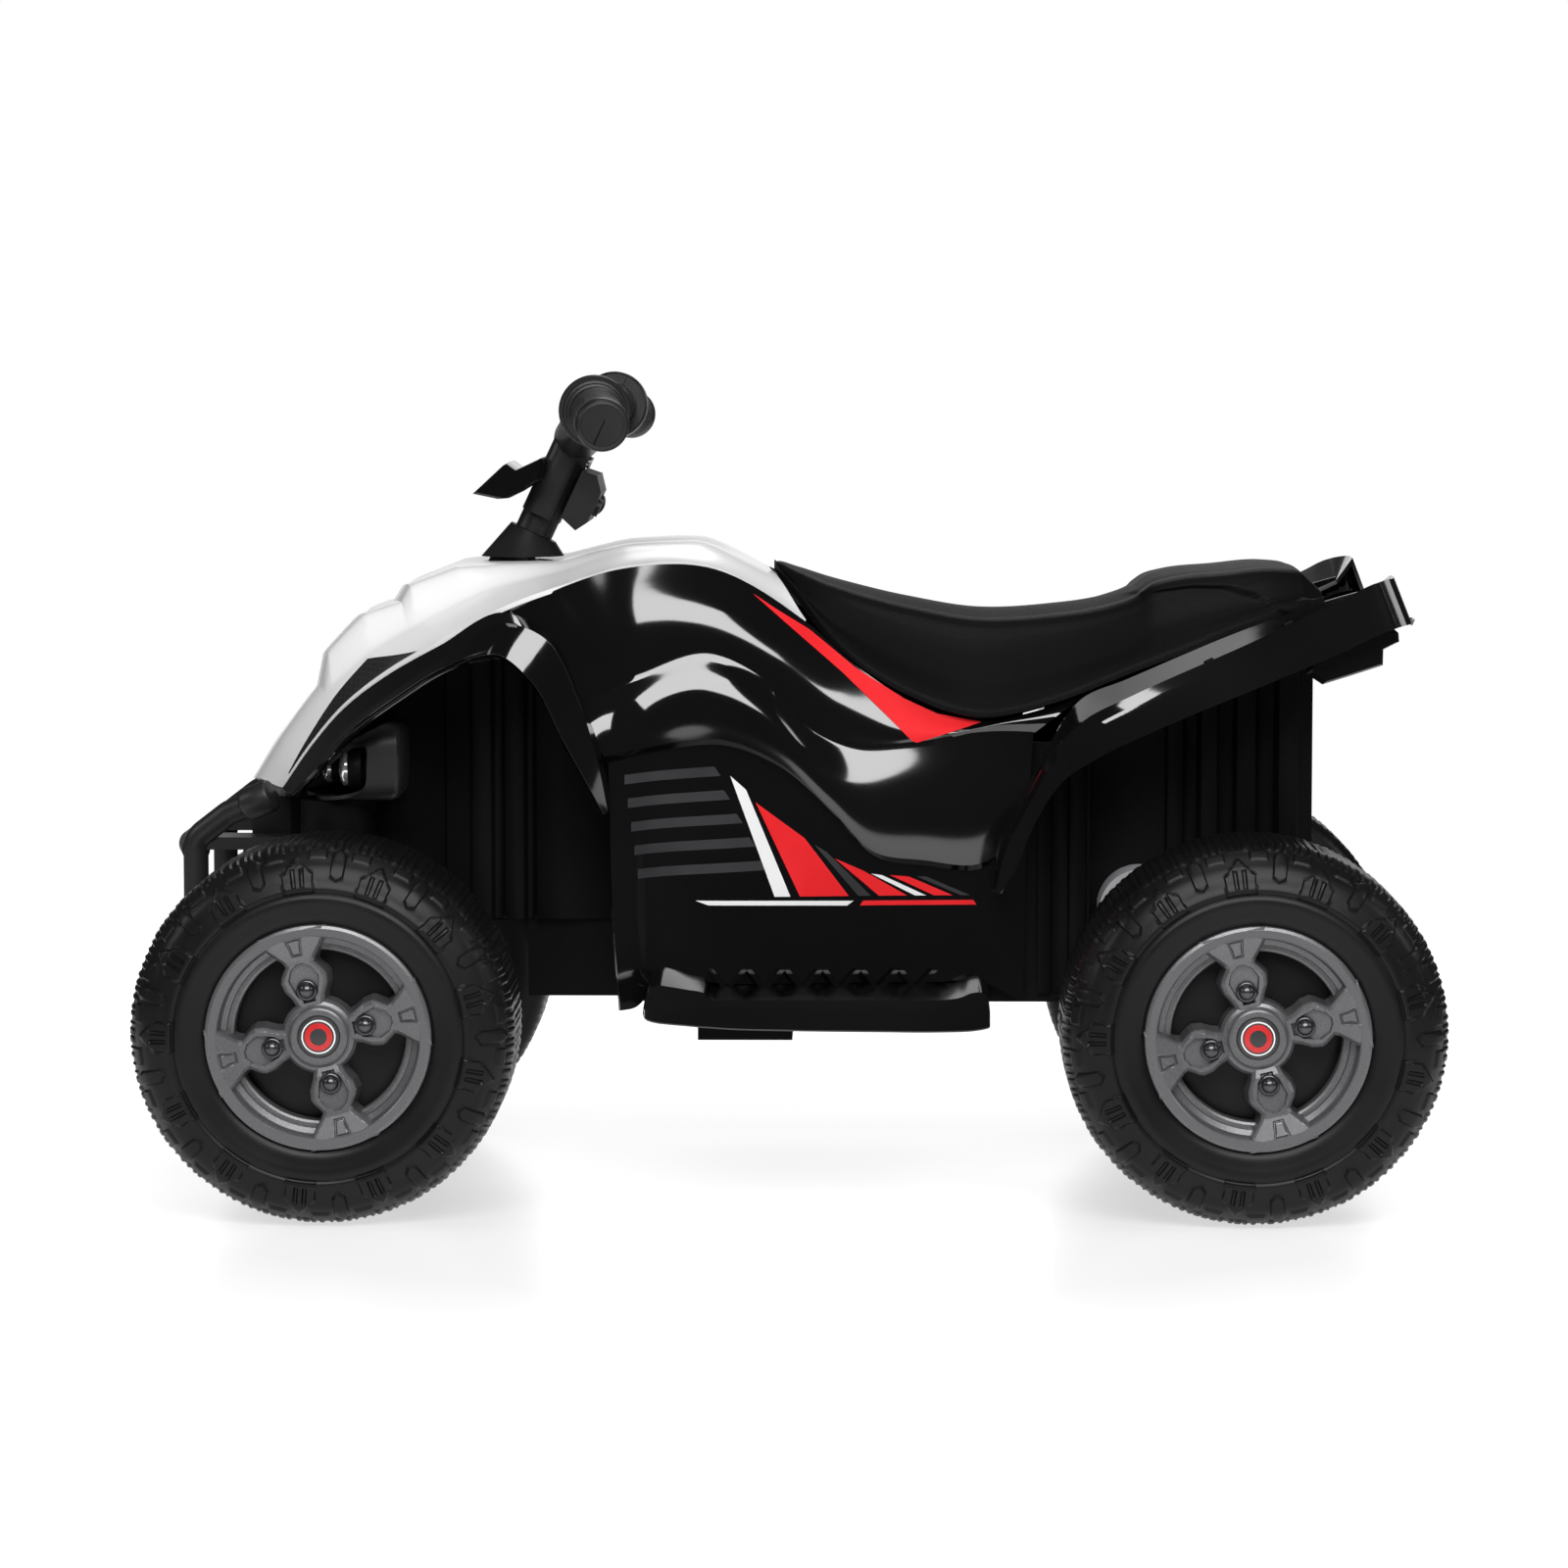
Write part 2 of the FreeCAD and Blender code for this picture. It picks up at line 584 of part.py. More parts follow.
def cowl():
    """White top cover over nose, hood and tank, with a hole for the column boot."""
    ridge = [(front(65), 21), (front(43), 56), (front(20), 90), (front(-2), 121), (front(-32), 143),
             (front(-82), 162), (front(-134), 163), (middle(0.9294), 172), (middle(0.7333), 175),
             (middle(0.5608), 159)]
    edge = [(front(38), 21, 80), (front(17), 50, 100), (front(-6), 76, 120), (front(-37), 100, 138),
            (front(-69), 119, 149), (front(-110), 141, 150), (front(-147), 154, 132),
            (middle(0.9059), 164, 106), (middle(0.7098), 164, 92), (middle(0.4627), 129, 86)]
    crown = [2, 6, 9, 10, 8, 4, 4, 6, 6, 3]
    rows = []
    for share in (-1, -0.55, 0, 0.55, 1):
        along = abs(share)
        row = []
        for (rx, rz), (ex, ez, ey), lift in zip(ridge, edge, crown):
            blend = along ** 1.5
            height = rz + (ez - rz) * blend + lift * math.sin(math.pi * along)
            row.append(V(rx + (ex - rx) * blend, ey * share, over(height)))
        rows.append(row)
    drop = V(0, 0, -WALL)
    tuck = V(0, WALL / 2, 0)
    shell = sheet(rows, [moved(r, s) for r, s in zip(rows, (drop + tuck, drop, drop, drop, drop - tuck))])
    mouth = rod(column_point(COLUMN_TOP_Z - 60), COLUMN_UP, BOOT_NECK_RADIUS + FACE_GAP, 120)
    return shell.cut(mouth), rows[-1]


def fender(cowl_edge):
    """Left front fender: from the cowl's edge out over the tyre, and down behind it."""
    lip = FENDER_LIP_Y
    opening = [SEAM + 0.13 * k * k for k in range(6)]
    top = [p + V(0, gap, -gap) for p, gap in zip(cowl_edge, opening)]
    crease = [(32, 22, 100), (13, 46, 128), (-12, 72, 148), (-42, 95, 158), (-72, 115, 164), (-112, 134, 165)]
    edge = [(28, 18, 112), (8, 37, 146), (-16, 63, 168), (-46, 85, 176), (-76, 103, lip), (-108, 112, lip)]
    turn_top = [(-137, 124, 158), (-157, 84, 152), (-170, 46, 146), (-175, 18, 140)]
    turn_crease = [(-134, 122, 165), (-154, 85, 164), (-168, 42, 160), (-174, 14, 154)]
    turn_edge = [(-126, 98, lip), (-148, 58, lip - 2), (-163, 30, lip - 6), (-172, 12, lip - 12)]

    def row(stations):
        """Points of one line of the fender, from the front axle and the tyres' top."""
        return [V(front(x), y, over(z)) for x, z, y in stations]

    rows = [top + row(turn_top), row(crease + turn_crease), row(edge + turn_edge)]
    hub = V(FRONT_X, 0, AXLE_Z)
    inner = [
        [p + s for p, s in zip(rows[0], toward(rows[1], hub, WALL))],
        [p + s * 0.7 - ACROSS * WALL * 0.7 for p, s in zip(rows[1], toward(rows[1], hub, WALL))],
        moved(rows[2], ACROSS * -WALL),
    ]
    return sheet(rows, inner)


def body_side(cowl_edge):
    """Left body side: tank flank down to a valley, arch band, flat engine panel and skirt."""
    cover_end = cowl_edge[-1].x
    seat_line = [V(x, 88 + (cover_end - x) * 0.09, seat_bottom(x) - SEAT_GAP) for x in
                 (middle(0.3333), middle(0.2039), middle(0.0196), rear(128), rear(104))]
    top = [p + V(0, 2 * SEAM, -2 * SEAM) for p in cowl_edge[5:]] + seat_line
    top[0] = top[0] + V(-4, -6, -2)
    xs = [front(-156), middle(0.9608), middle(0.8824), middle(0.7098), middle(0.5843), middle(0.451),
          middle(0.3373), middle(0.2039), middle(0.0196), rear(134)]
    flank = [over(z) for z in (76, 84, 94, 107, 94, 60, 49, 52, 59, 58)]
    band = [over(z) for z in (46, 48, 51, 55, 41, 9, -17, -22, -24, 2)]
    skirt = [FOOT_TOP + z for z in (52, 52, 52, 51, 50, 49, 48, 47, 46, 46)]
    foot = FOOT_TOP + FACE_GAP
    outs = [FENDER_LIP_Y - y for y in (34, 38, 49)] + [SIDE_REAR_Y + y for y in (15, 11, 7, 4, 2, 0, 0)]
    slant = [-8, -10, -14, -20, -22, -24, -20, -14, 2, 6]
    swell = [-2, 2, 3, 3, 3, 3, 3, 3, 3, 3]

    def row(heights, inset, drop, rake):
        """Points of one line of the side, set in by inset and moved along by a share of the slant."""
        return [V(x + a * rake, y - inset, z - drop) for x, z, y, a in zip(xs, heights, outs, slant)]

    def down_band(share):
        """Heights of a line part of the way down the arch band."""
        return [f + (b - f) * share for f, b in zip(flank, band)]

    valley = row(flank, 10, 0, 0)
    upper = [(p + q) * 0.5 + V(0, w, 0) for p, q, w in zip(top, valley, swell)]
    rows = [
        top,
        upper,
        valley,
        row(down_band(0.35), 2.5, 0, 0.2),
        row(down_band(0.65), 0.5, 0, 0.4),
        row(band, 1.5, 0, 0.6),
        row(band, 8, 4, 0.7),
        row(skirt, 6, 0, 0.8),
        row([foot] * len(xs), 4, 0, 0.6),
    ]
    brow = moved(rows[0], V(0, -WALL * 0.7, -WALL * 0.7))
    return sheet(rows, [brow] + [moved(r, ACROSS * -WALL) for r in rows[1:]])


def rear_fender():
    """Left rear fender: a strip that climbs in front of the tyre and rises to the tail tip."""
    top = WING_TOP
    low = [(rear(x), over(z)) for x, z in (
        (156, -36), (147, -22), (136, 5), (116, 35), (96, 48), (54, 68), (-1, 91), (-56, 115), (-99, 135))]
    lip = WING_LIP_Y
    beside = [SIDE_REAR_Y + 2 * SEAM] * 5 + [SIDE_REAR_Y - 6] + [REAR_TUB_HALF_WIDTH + 8] * 3
    inner = [V(x, y, z - WING_DROP) for (x, z), y in zip(top, beside)]
    deck = [V(x, lip - 6, z) for x, z in top]
    brow = [V(x * 0.85 + a * 0.15, lip - 1, z * 0.85 + c * 0.15) for (x, z), (a, c) in zip(top, low)]
    skirt = [V(x, lip, z) for x, z in low]
    hub = V(REAR_X, 0, AXLE_Z)
    under = toward(deck, hub, WALL)
    return sheet([inner, deck, brow, skirt], [
        [p + s for p, s in zip(inner, under)],
        [p + s - ACROSS * WALL * 0.5 for p, s in zip(deck, under)],
        [p + s * 0.4 - ACROSS * WALL for p, s in zip(brow, under)],
        moved(skirt, ACROSS * -WALL),
    ])


def seat():
    """Saddle with a crowned top, drawn-in sides and a raised back step."""
    sections = []
    for x, top, low, wide, narrow in SEAT_STATIONS:
        shoulder = top - (top - low) * 0.22
        waist_y = (wide + narrow) / 2 - (top - low) * 0.06
        waist_z = (low + shoulder) / 2
        sections.append(Part.Wire([
            Part.makeLine(V(x, -wide, low), V(x, wide, low)),
            Part.Arc(V(x, wide, low), V(x, waist_y, waist_z), V(x, narrow, shoulder)).toShape(),
            Part.Arc(V(x, narrow, shoulder), V(x, 0, top), V(x, -narrow, shoulder)).toShape(),
            Part.Arc(V(x, -narrow, shoulder), V(x, -waist_y, waist_z), V(x, -wide, low)).toShape(),
        ]))
    return Part.makeLoft(sections, True, False)


def footboard():
    """Left footboard: a hollow step with turned-up ends, open below, hooked on the tub's flank."""
    head = front(-FOOT_FRONT_GAP)
    tail = rear(FOOT_REAR_GAP)
    under = [(tail - 2, FOOT_BOTTOM + 2), (tail + 24, FOOT_BOTTOM), (head - 24, FOOT_BOTTOM + 2),
             (head + 2, FOOT_TOP - 9)]
    flat = under + [(head - 1, FOOT_TOP), (tail + 3, FOOT_TOP)]
    kicked = under + [(head - 3, FOOT_TOP + 14), (head - 16, FOOT_TOP), (tail + 16, FOOT_TOP),
                      (tail + 6, FOOT_TOP + 8)]
    board = prism(flat, TUB_HALF_WIDTH, FOOT_KICK_Y).fuse(prism(kicked, FOOT_KICK_Y, FOOT_OUTER_Y))
    hollow = box(tail + 20, head - 20, TUB_HALF_WIDTH + WALL, FOOT_OUTER_Y - WALL, 0, FOOT_TOP - WALL)
    board = board.cut(hollow)
    pitch = 22.0
    count = int((head - tail - 50) / pitch)
    ribs = [box(tail + 24 + pitch * k, tail + 32 + pitch * k, FOOT_OUTER_Y - FOOT_RIB_BAND, FOOT_OUTER_Y - 4,
                FOOT_TOP - 1, FOOT_TOP + 2.5) for k in range(count + 1)]
    return board.fuse(ribs)


PEDAL_HINGE_Z = FOOT_TOP + PEDAL_HINGE_RISE
PEDAL_Y = -(FOOT_KICK_Y + FOOT_OUTER_Y - FOOT_RIB_BAND - 4) / 2


def pedal():
    """Drive pedal of the right foot: a ribbed plate on two stub pins, raised at the front."""
    y0 = PEDAL_Y - PEDAL_WIDTH / 2
    plate = box(-4, PEDAL_LENGTH, y0, y0 + PEDAL_WIDTH, 0, PEDAL_THICK)
    ribs = [box(12 + 10 * k, 15 + 10 * k, y0 + 4, y0 + PEDAL_WIDTH - 4, PEDAL_THICK - 1, PEDAL_THICK + 1.5)
            for k in range(int((PEDAL_LENGTH - 12) / 10))]
    pins = rod(V(0, y0 - EAR_THICK, PEDAL_THICK / 2), ACROSS, PEDAL_PIN_RADIUS, PEDAL_WIDTH + 2 * EAR_THICK)
    whole = plate.fuse(ribs + [pins])
    whole.translate(V(PEDAL_HINGE_X, 0, PEDAL_HINGE_Z - PEDAL_THICK / 2))
    whole.rotate(V(PEDAL_HINGE_X, 0, PEDAL_HINGE_Z), ACROSS, -PEDAL_RISE)
    return whole


def pedal_ears():
    """Two ears on the right footboard that hold the pedal's stub pins."""
    ears = []
    for side in (-1, 1):
        inner = PEDAL_Y + side * (PEDAL_WIDTH / 2 + FACE_GAP)
        y0, y1 = sorted((inner, inner + side * EAR_THICK))
        ear = box(PEDAL_HINGE_X - 6, PEDAL_HINGE_X + 6, y0, y1, FOOT_TOP - 1, PEDAL_HINGE_Z + 5)
        pin_hole = PEDAL_PIN_RADIUS + RUNNING_GAP
        ears.append(ear.cut(rod(V(PEDAL_HINGE_X, y0 - 1, PEDAL_HINGE_Z), ACROSS, pin_hole, EAR_THICK + 2)))
    return ears


def pedal_switch():
    """Small switch on the footboard, under the front of the pedal."""
    reach = PEDAL_LENGTH * 0.72
    slope = math.tan(math.radians(PEDAL_RISE - PEDAL_PRESS))
    top = PEDAL_HINGE_Z + reach * slope - PEDAL_THICK / 2 - 1.5
    x = PEDAL_HINGE_X + reach
    return box(x - 10, x + 8, PEDAL_Y - 5, PEDAL_Y + 5, FOOT_TOP, top)


def tube_run(points, radius, bend):
    """Round bar through points, with a bend of one radius at each corner."""
    edges = []
    start = points[0]
    for a, corner, b in zip(points, points[1:], points[2:]):
        into = (corner - a).normalize()
        out = (b - corner).normalize()
        half_turn = into.getAngle(out) / 2
        cut = bend * math.tan(half_turn)
        first = corner - into * cut
        last = corner + out * cut
        middle = corner + (out - into).normalize() * (bend / math.cos(half_turn) - bend)
        edges.append(Part.makeLine(start, first))
        edges.append(Part.Arc(first, middle, last).toShape())
        start = last
    edges.append(Part.makeLine(start, points[-1]))
    path = Part.Wire(edges)
    ring = Part.Wire(Part.makeCircle(radius, points[0], points[1] - points[0]))
    return path.makePipeShell([ring], True, False)


def bumper():
    """Front guard: two bent side bars, joined by a cross bar, a lower bar and a centre plate."""
    y = BUMPER_HALF_WIDTH
    nose = front(103)
    root = front(34) + FACE_GAP
    pieces = []
    for side in (1, -1):
        tip = V(front(44), side * (y + 12), over(17))
        path = [tip, V(front(72), side * (y + 5), over(5)), V(front(94), side * y, over(-12)),
                V(front(94), side * y, over(-62)), V(front(70), side * y * 0.7, over(-78))]
        pieces.append(tube_run(path, BUMPER_TUBE_RADIUS, 14))
        pieces.append(rod(tip, path[1] - tip, BUMPER_TUBE_RADIUS + 1.5, 6))
        y0, y1 = sorted((side * 50, side * (y + 3)))
        pieces.append(box(root, front(94), y0, y1, over(-19), over(-11)))
    bow_line = [(front(94), -y), (nose - 2, -y * 0.5), (nose - 2, y * 0.5), (front(94), y)]
    bow_path = [V(x, across, over(-19)) for x, across in bow_line]
    bow = tube_run(bow_path, BUMPER_TUBE_RADIUS + 1, 18)
    low = rod(V(front(70), -y * 0.7, over(-78)), ACROSS, BUMPER_TUBE_RADIUS, 2 * y * 0.7)
    plate = box(root, front(62), -42, 42, over(-62), over(12))
    slots = [box(root - 1, front(63), 24 * k - 34, 24 * k - 18, over(-54), over(4)) for k in range(3)]
    plate = plate.cut(slots)
    stays = [box(root, front(72), s * 30 - 6, s * 30 + 6, over(-58), over(-48)) for s in (-1, 1)]
    lower_stays = [box(front(60), front(72), s * 30 - 6, s * 30 + 6, over(-80), over(-48)) for s in (-1, 1)]
    return pieces[0].fuse(pieces[1:] + [bow, low, plate] + stays + lower_stays)


# Lamps of a headlamp: X from the front axle, Y, height above the tower, radius.
LAMPS = [(6.0, 100.0, 20.0, 10.0), (-7.0, 124.0, 21.5, 11.5)]
LAMP_THICK = 9.0


def headlamp_housing():
    """Left headlamp cup on top of the kingpin tower, open to the front and the outer side."""
    y0 = PILLAR_HALF_WIDTH + FACE_GAP
    y1 = 139.0
    floor = TOWER_TOP
    outline = [(front(25), floor + 6), (front(16), floor), (front(-40), floor), (front(-44), floor + 46),
               (front(-30), floor + 44), (front(-10), floor + 38)]
    cup = prism(outline, y0, y1)
    hollow = [(front(40), floor + 3), (front(14), floor + WALL), (front(-24), floor + WALL),
              (front(-26), floor + 36), (front(-12), floor + 34), (front(10), floor + 40)]
    cup = cup.cut(prism(hollow, y0 + 14, y1 + 2))
    seats = []
    for dx, y, z, radius in LAMPS:
        at = V(front(-30), y, floor + z)
        seats.append(rod(at, FORWARD, radius * 0.5, front(dx) - LAMP_THICK - front(-30)))
    return cup.fuse(seats)


def headlamp_lenses():
    """Two round lamps in each headlamp cup."""
    lenses = []
    for side in (1, -1):
        for dx, y, z, radius in LAMPS:
            body = rod(V(front(dx) - LAMP_THICK, side * y, TOWER_TOP + z), FORWARD, radius, LAMP_THICK)
            lenses.append(body.makeFillet(2.0, [e for e in body.Edges if e.CenterOfMass.x > front(dx) - 0.5]))
    return Part.makeCompound(lenses)


def tail_panel():
    """Rear panel that closes the body between the two fender tips."""
    tail = rear(-REAR_TUB_OVERHANG)
    outline = [(-FACE_GAP, 74), (-8, 74), (-46, 98), (-56, 114), (-44, 122), (-18, 114), (-FACE_GAP, 96)]
    panel = prism([(tail + x, over(z)) for x, z in outline], -TAIL_HALF_WIDTH, TAIL_HALF_WIDTH)
    bed = [(-60, 106), (-40, 106), (-44, 119), (-62, 119)]
    return panel.cut(prism([(tail + x, over(z)) for x, z in bed], -60, 60))


def knuckle():
    """Left steering knuckle: kingpin, stub axle, steering arm and its pin in one forging."""
    half = KNUCKLE_SIZE / 2
    top = TOWER_BOTTOM - FACE_GAP
    low = STEER_ARM_TOP - STEER_ARM_THICK
    block = box(front(-half), front(half), KINGPIN_Y - half, KINGPIN_Y + half, low, top)
    pin = rod(V(FRONT_X, KINGPIN_Y, top - 2), UP, KINGPIN_RADIUS, KINGPIN_LENGTH)
    wheel_end = WHEEL_Y - TYRE_WIDTH / 2 + BARREL_SETBACK
    tip = WHEEL_Y + TYRE_WIDTH / 2 - WHEEL_FACE_DEPTH + FACE_GAP + NUT_THICK + 1
    axle = rod(V(FRONT_X, KINGPIN_Y, AXLE_Z), ACROSS, AXLE_RADIUS, tip - KINGPIN_Y)
    collar = rod(V(FRONT_X, KINGPIN_Y, AXLE_Z), ACROSS, BARREL_RADIUS - 3, wheel_end - FACE_GAP - KINGPIN_Y)
    arm_y = STEER_ARM_WIDTH / 2
    arm = box(front(-STEER_ARM), FRONT_X, KINGPIN_Y - arm_y, KINGPIN_Y + arm_y, low, STEER_ARM_TOP)
    end = rod(V(front(-STEER_ARM), KINGPIN_Y, low), UP, arm_y, STEER_ARM_THICK)
    stud = rod(V(front(-STEER_ARM), KINGPIN_Y, low - TIE_PIN_LENGTH), UP, TIE_PIN_RADIUS, TIE_PIN_LENGTH + 1)
    return block.fuse([pin, axle, collar, arm, end, stud])


TIE_ROD_TOP = STEER_ARM_TOP - STEER_ARM_THICK - FACE_GAP
CRANK_CENTRE_Z = TIE_ROD_TOP - TIE_ROD_THICK / 2
CRANK_PIN_AT = column_point(CRANK_CENTRE_Z - math.sin(TILT) * -STEER_ARM) + COLUMN_BACK * STEER_ARM


def tie_rod():
    """Flat link between the two steering arms, with a tongue that the column's crank pin drives."""
    x = front(-STEER_ARM)
    half = TIE_ROD_WIDTH / 2
    low = TIE_ROD_TOP - TIE_ROD_THICK
    bar = box(x - half, x + half, -KINGPIN_Y, KINGPIN_Y, low, TIE_ROD_TOP)
    ends = [rod(V(x, s * KINGPIN_Y, low), UP, half, TIE_ROD_THICK) for s in (1, -1)]
    tongue = box(x, CRANK_PIN_AT.x, -13, 13, low, TIE_ROD_TOP)
    tip = rod(V(CRANK_PIN_AT.x, 0, low), UP, 13, TIE_ROD_THICK)
    link = bar.fuse(ends + [tongue, tip])
    pin_hole = TIE_PIN_RADIUS + RUNNING_GAP
    holes = [rod(V(x, s * KINGPIN_Y, low - 1), UP, pin_hole, TIE_ROD_THICK + 2) for s in (1, -1)]
    holes.append(rod(V(CRANK_PIN_AT.x, 0, low - 1), UP, CRANK_HOLE_RADIUS, TIE_ROD_THICK + 2))
    return link.cut(holes)


BOOT_TOP = column_point(COLUMN_TOP_Z + BOOT_BASE_RISE) + COLUMN_UP * BOOT_HEIGHT
STEM_FOOT = BOOT_TOP + COLUMN_UP * FACE_GAP
BAR_HEAD = STEM_FOOT + COLUMN_UP * (STEM_LENGTH - BAR_RADIUS)


def steering_column():
    """Steel column with a cranked foot, whose pin drives the tie rod."""
    foot = column_point(COLUMN_FOOT_Z)
    top = STEM_FOOT + COLUMN_UP * COLUMN_IN_STEM
    shaft = rod_between(foot, top, COLUMN_RADIUS)
    crank = Part.makeBox(STEER_ARM + 12, 16, 8, V(-6, -8, 0))
    crank.rotate(V(0, 0, 0), ACROSS, 180 - RAKE)
    crank.translate(foot + COLUMN_UP * 8)
    pin_top = foot + COLUMN_BACK * STEER_ARM + COLUMN_UP * 4
    run = (pin_top.z - (TIE_ROD_TOP - TIE_ROD_THICK - 3)) / COLUMN_UP.z
    pin = rod(pin_top, COLUMN_UP * -1, TIE_PIN_RADIUS, run)
    return shaft.fuse([crank, pin])


def handlebar_solid(shrink):
    """Stem, arms, flanges and grips of the bar, drawn in by the wall for its hollow."""
    corner = V(shrink - STEM_DEPTH / 2, shrink - STEM_WIDTH / 2, STEM_COLLAR_LENGTH + shrink)
    stem = Part.makeBox(STEM_DEPTH - 2 * shrink, STEM_WIDTH - 2 * shrink,
                        STEM_LENGTH - STEM_COLLAR_LENGTH - shrink, corner)
    upright = [e for e in stem.Edges if abs(e.tangentAt(e.FirstParameter).z) > 0.9]
    stem = stem.makeFillet(9 - shrink, upright)
    stem.rotate(V(0, 0, 0), ACROSS, -RAKE)
    stem.translate(STEM_FOOT)
    pieces = [stem]
    for side in (1, -1):
        flange = BAR_HEAD + V(-FLANGE_SETBACK, side * FLANGE_Y, FLANGE_RISE)
        sweep = V(-GRIP_SWEEP, side * (GRIP_END_Y - FLANGE_Y - shrink), -GRIP_DROOP)
        grip_end = flange + sweep
        pieces.append(rod_between(BAR_HEAD, flange, BAR_RADIUS - shrink))
        along = grip_end - flange
        pieces.append(rod_between(flange - along * 0.05, grip_end, GRIP_RADIUS - shrink))
        if shrink == 0:
            pieces.append(rod(flange, along, FLANGE_RADIUS, FLANGE_THICK))
    pieces.append(Part.makeSphere(BAR_RADIUS - shrink, BAR_HEAD))
    return pieces[0].fuse(pieces[1:])


def handlebar_halves():
    """Front and rear half shells of the bar, split in the plane of the column and the grips."""
    solid = handlebar_solid(0).cut(handlebar_solid(BAR_WALL))
    collar = rod(STEM_FOOT, COLUMN_UP, STEM_COLLAR_RADIUS, STEM_COLLAR_LENGTH + BAR_WALL)
    core = rod(STEM_FOOT, COLUMN_UP, COLUMN_RADIUS + 2, COLUMN_IN_STEM + 6)
    bore = rod(STEM_FOOT - COLUMN_UP, COLUMN_UP, COLUMN_RADIUS + RUNNING_GAP, COLUMN_IN_STEM + 2)
    solid = solid.fuse([collar, core]).cut(bore)
    size = 3 * GRIP_END_Y
    seam = V(-FLANGE_SETBACK, 0, FLANGE_RISE).dot(COLUMN_BACK)
    halves = []
    for shift in (FACE_GAP / 2, -size - FACE_GAP / 2):
        keep = Part.makeBox(size, size, size, V(shift, -size / 2, -size / 2))
        keep.rotate(V(0, 0, 0), ACROSS, -RAKE)
        keep.translate(STEM_FOOT + COLUMN_BACK * seam)
        halves.append(solid.common(keep))
    return halves


def on_stem(forward, height):
    """X and Z of a place measured from the stem's foot: ahead of the axis, and up along it."""
    place = STEM_FOOT + COLUMN_UP * height - COLUMN_BACK * forward
    return place.x, place.z


def windscreen():
    """Small shield ahead of the stem, on a short arm."""
    ahead = STEM_DEPTH / 2 + FACE_GAP
    arm = prism([on_stem(ahead, 34), on_stem(ahead + 14, 26), on_stem(ahead + 14, 33),
                 on_stem(ahead, 46)], -9, 9)
    plate = prism([on_stem(ahead + 30, 14), on_stem(ahead + 16, 46), on_stem(ahead + 12, 45),
                   on_stem(ahead + 13, 22), on_stem(ahead + 18, 14)], -44, 44)
    for side in (1, -1):
        slice_x, slice_z = on_stem(ahead + 20, 0)
        wedge = Part.makeBox(120, 60, 160, V(-60, 0, -60))
        wedge.rotate(V(0, 0, 0), FORWARD, -24)
        wedge.translate(V(slice_x, 24, slice_z + 4))
        if side < 0:
            wedge = mirrored(wedge)
        plate = plate.cut(wedge)
    return plate.fuse(arm)


POD_HALF_WIDTH = 36.0
POD_DEPTH = 17.0
POD_LOW = 14.0
POD_HIGH = 51.0
POD_BACK = STEM_DEPTH / 2 + FACE_GAP


def pod_point(back, height):
    """Place on the dash pod, behind the stem's axis and up along it."""
    return STEM_FOOT + COLUMN_UP * height + COLUMN_BACK * back


BUTTON_HEIGHT = (POD_LOW + POD_HIGH) / 2
BUTTON_Y = 16.0
ROCKER_PIN_AT = pod_point(POD_BACK + POD_DEPTH - 1, BUTTON_HEIGHT) - ACROSS * BUTTON_Y


def dash_pod():
    """Control pod behind the stem, with pockets for the power button and the direction rocker."""
    back_face = POD_BACK + POD_DEPTH
    corners = [(POD_BACK, POD_LOW + 4), (POD_BACK, POD_HIGH), (back_face - 7, POD_HIGH + 1),
               (back_face, POD_HIGH - 8), (back_face, POD_LOW + 8), (back_face - 5, POD_LOW)]
    outline = [pod_point(back, height) for back, height in corners]
    pod = prism([(p.x, p.z) for p in outline], -POD_HALF_WIDTH, POD_HALF_WIDTH)
    well = rod(pod_point(back_face + 1, BUTTON_HEIGHT) + ACROSS * BUTTON_Y, COLUMN_BACK * -1,
               BUTTON_RADIUS + FACE_GAP, 11)
    half = ROCKER_SIZE / 2 + 1
    slot = Part.makeBox(12, ROCKER_SIZE, 2 * half, V(-1, -ROCKER_SIZE / 2, -half))
    slot.rotate(V(0, 0, 0), ACROSS, -RAKE)
    slot.translate(pod_point(back_face, BUTTON_HEIGHT) - ACROSS * BUTTON_Y)
    pin_start = ROCKER_PIN_AT - ACROSS * (ROCKER_SIZE / 2 + 3)
    pin = rod(pin_start, ACROSS, ROCKER_PIN_RADIUS + RUNNING_GAP, ROCKER_SIZE + 6)
    return pod.cut([well, slot, pin])


def power_button():
    """Round push button in the dash pod."""
    back_face = POD_BACK + POD_DEPTH
    button = rod(pod_point(back_face + BUTTON_PROUD, BUTTON_HEIGHT) + ACROSS * BUTTON_Y, COLUMN_BACK * -1,
                 BUTTON_RADIUS, BUTTON_PROUD + 10 - BUTTON_TRAVEL - FACE_GAP)
    return button


def direction_rocker():
    """Forward and reverse rocker in the dash pod, on a cross pin."""
    back_face = POD_BACK + POD_DEPTH
    half = ROCKER_SIZE / 2
    cap = Part.makeBox(7, ROCKER_SIZE - 1, ROCKER_SIZE, V(-4, 0.5 - half, -half))
    crest = Part.makeCylinder(half + 3, ROCKER_SIZE - 1, V(6, 0.5 - half, 0), ACROSS)
    key = cap.common(crest)
    key.rotate(V(0, 0, 0), ACROSS, -RAKE)
    key.translate(pod_point(back_face, BUTTON_HEIGHT) - ACROSS * BUTTON_Y)
    reach = ROCKER_SIZE / 2 + 2
    return key.fuse(rod(ROCKER_PIN_AT - ACROSS * reach, ACROSS, ROCKER_PIN_RADIUS, 2 * reach))


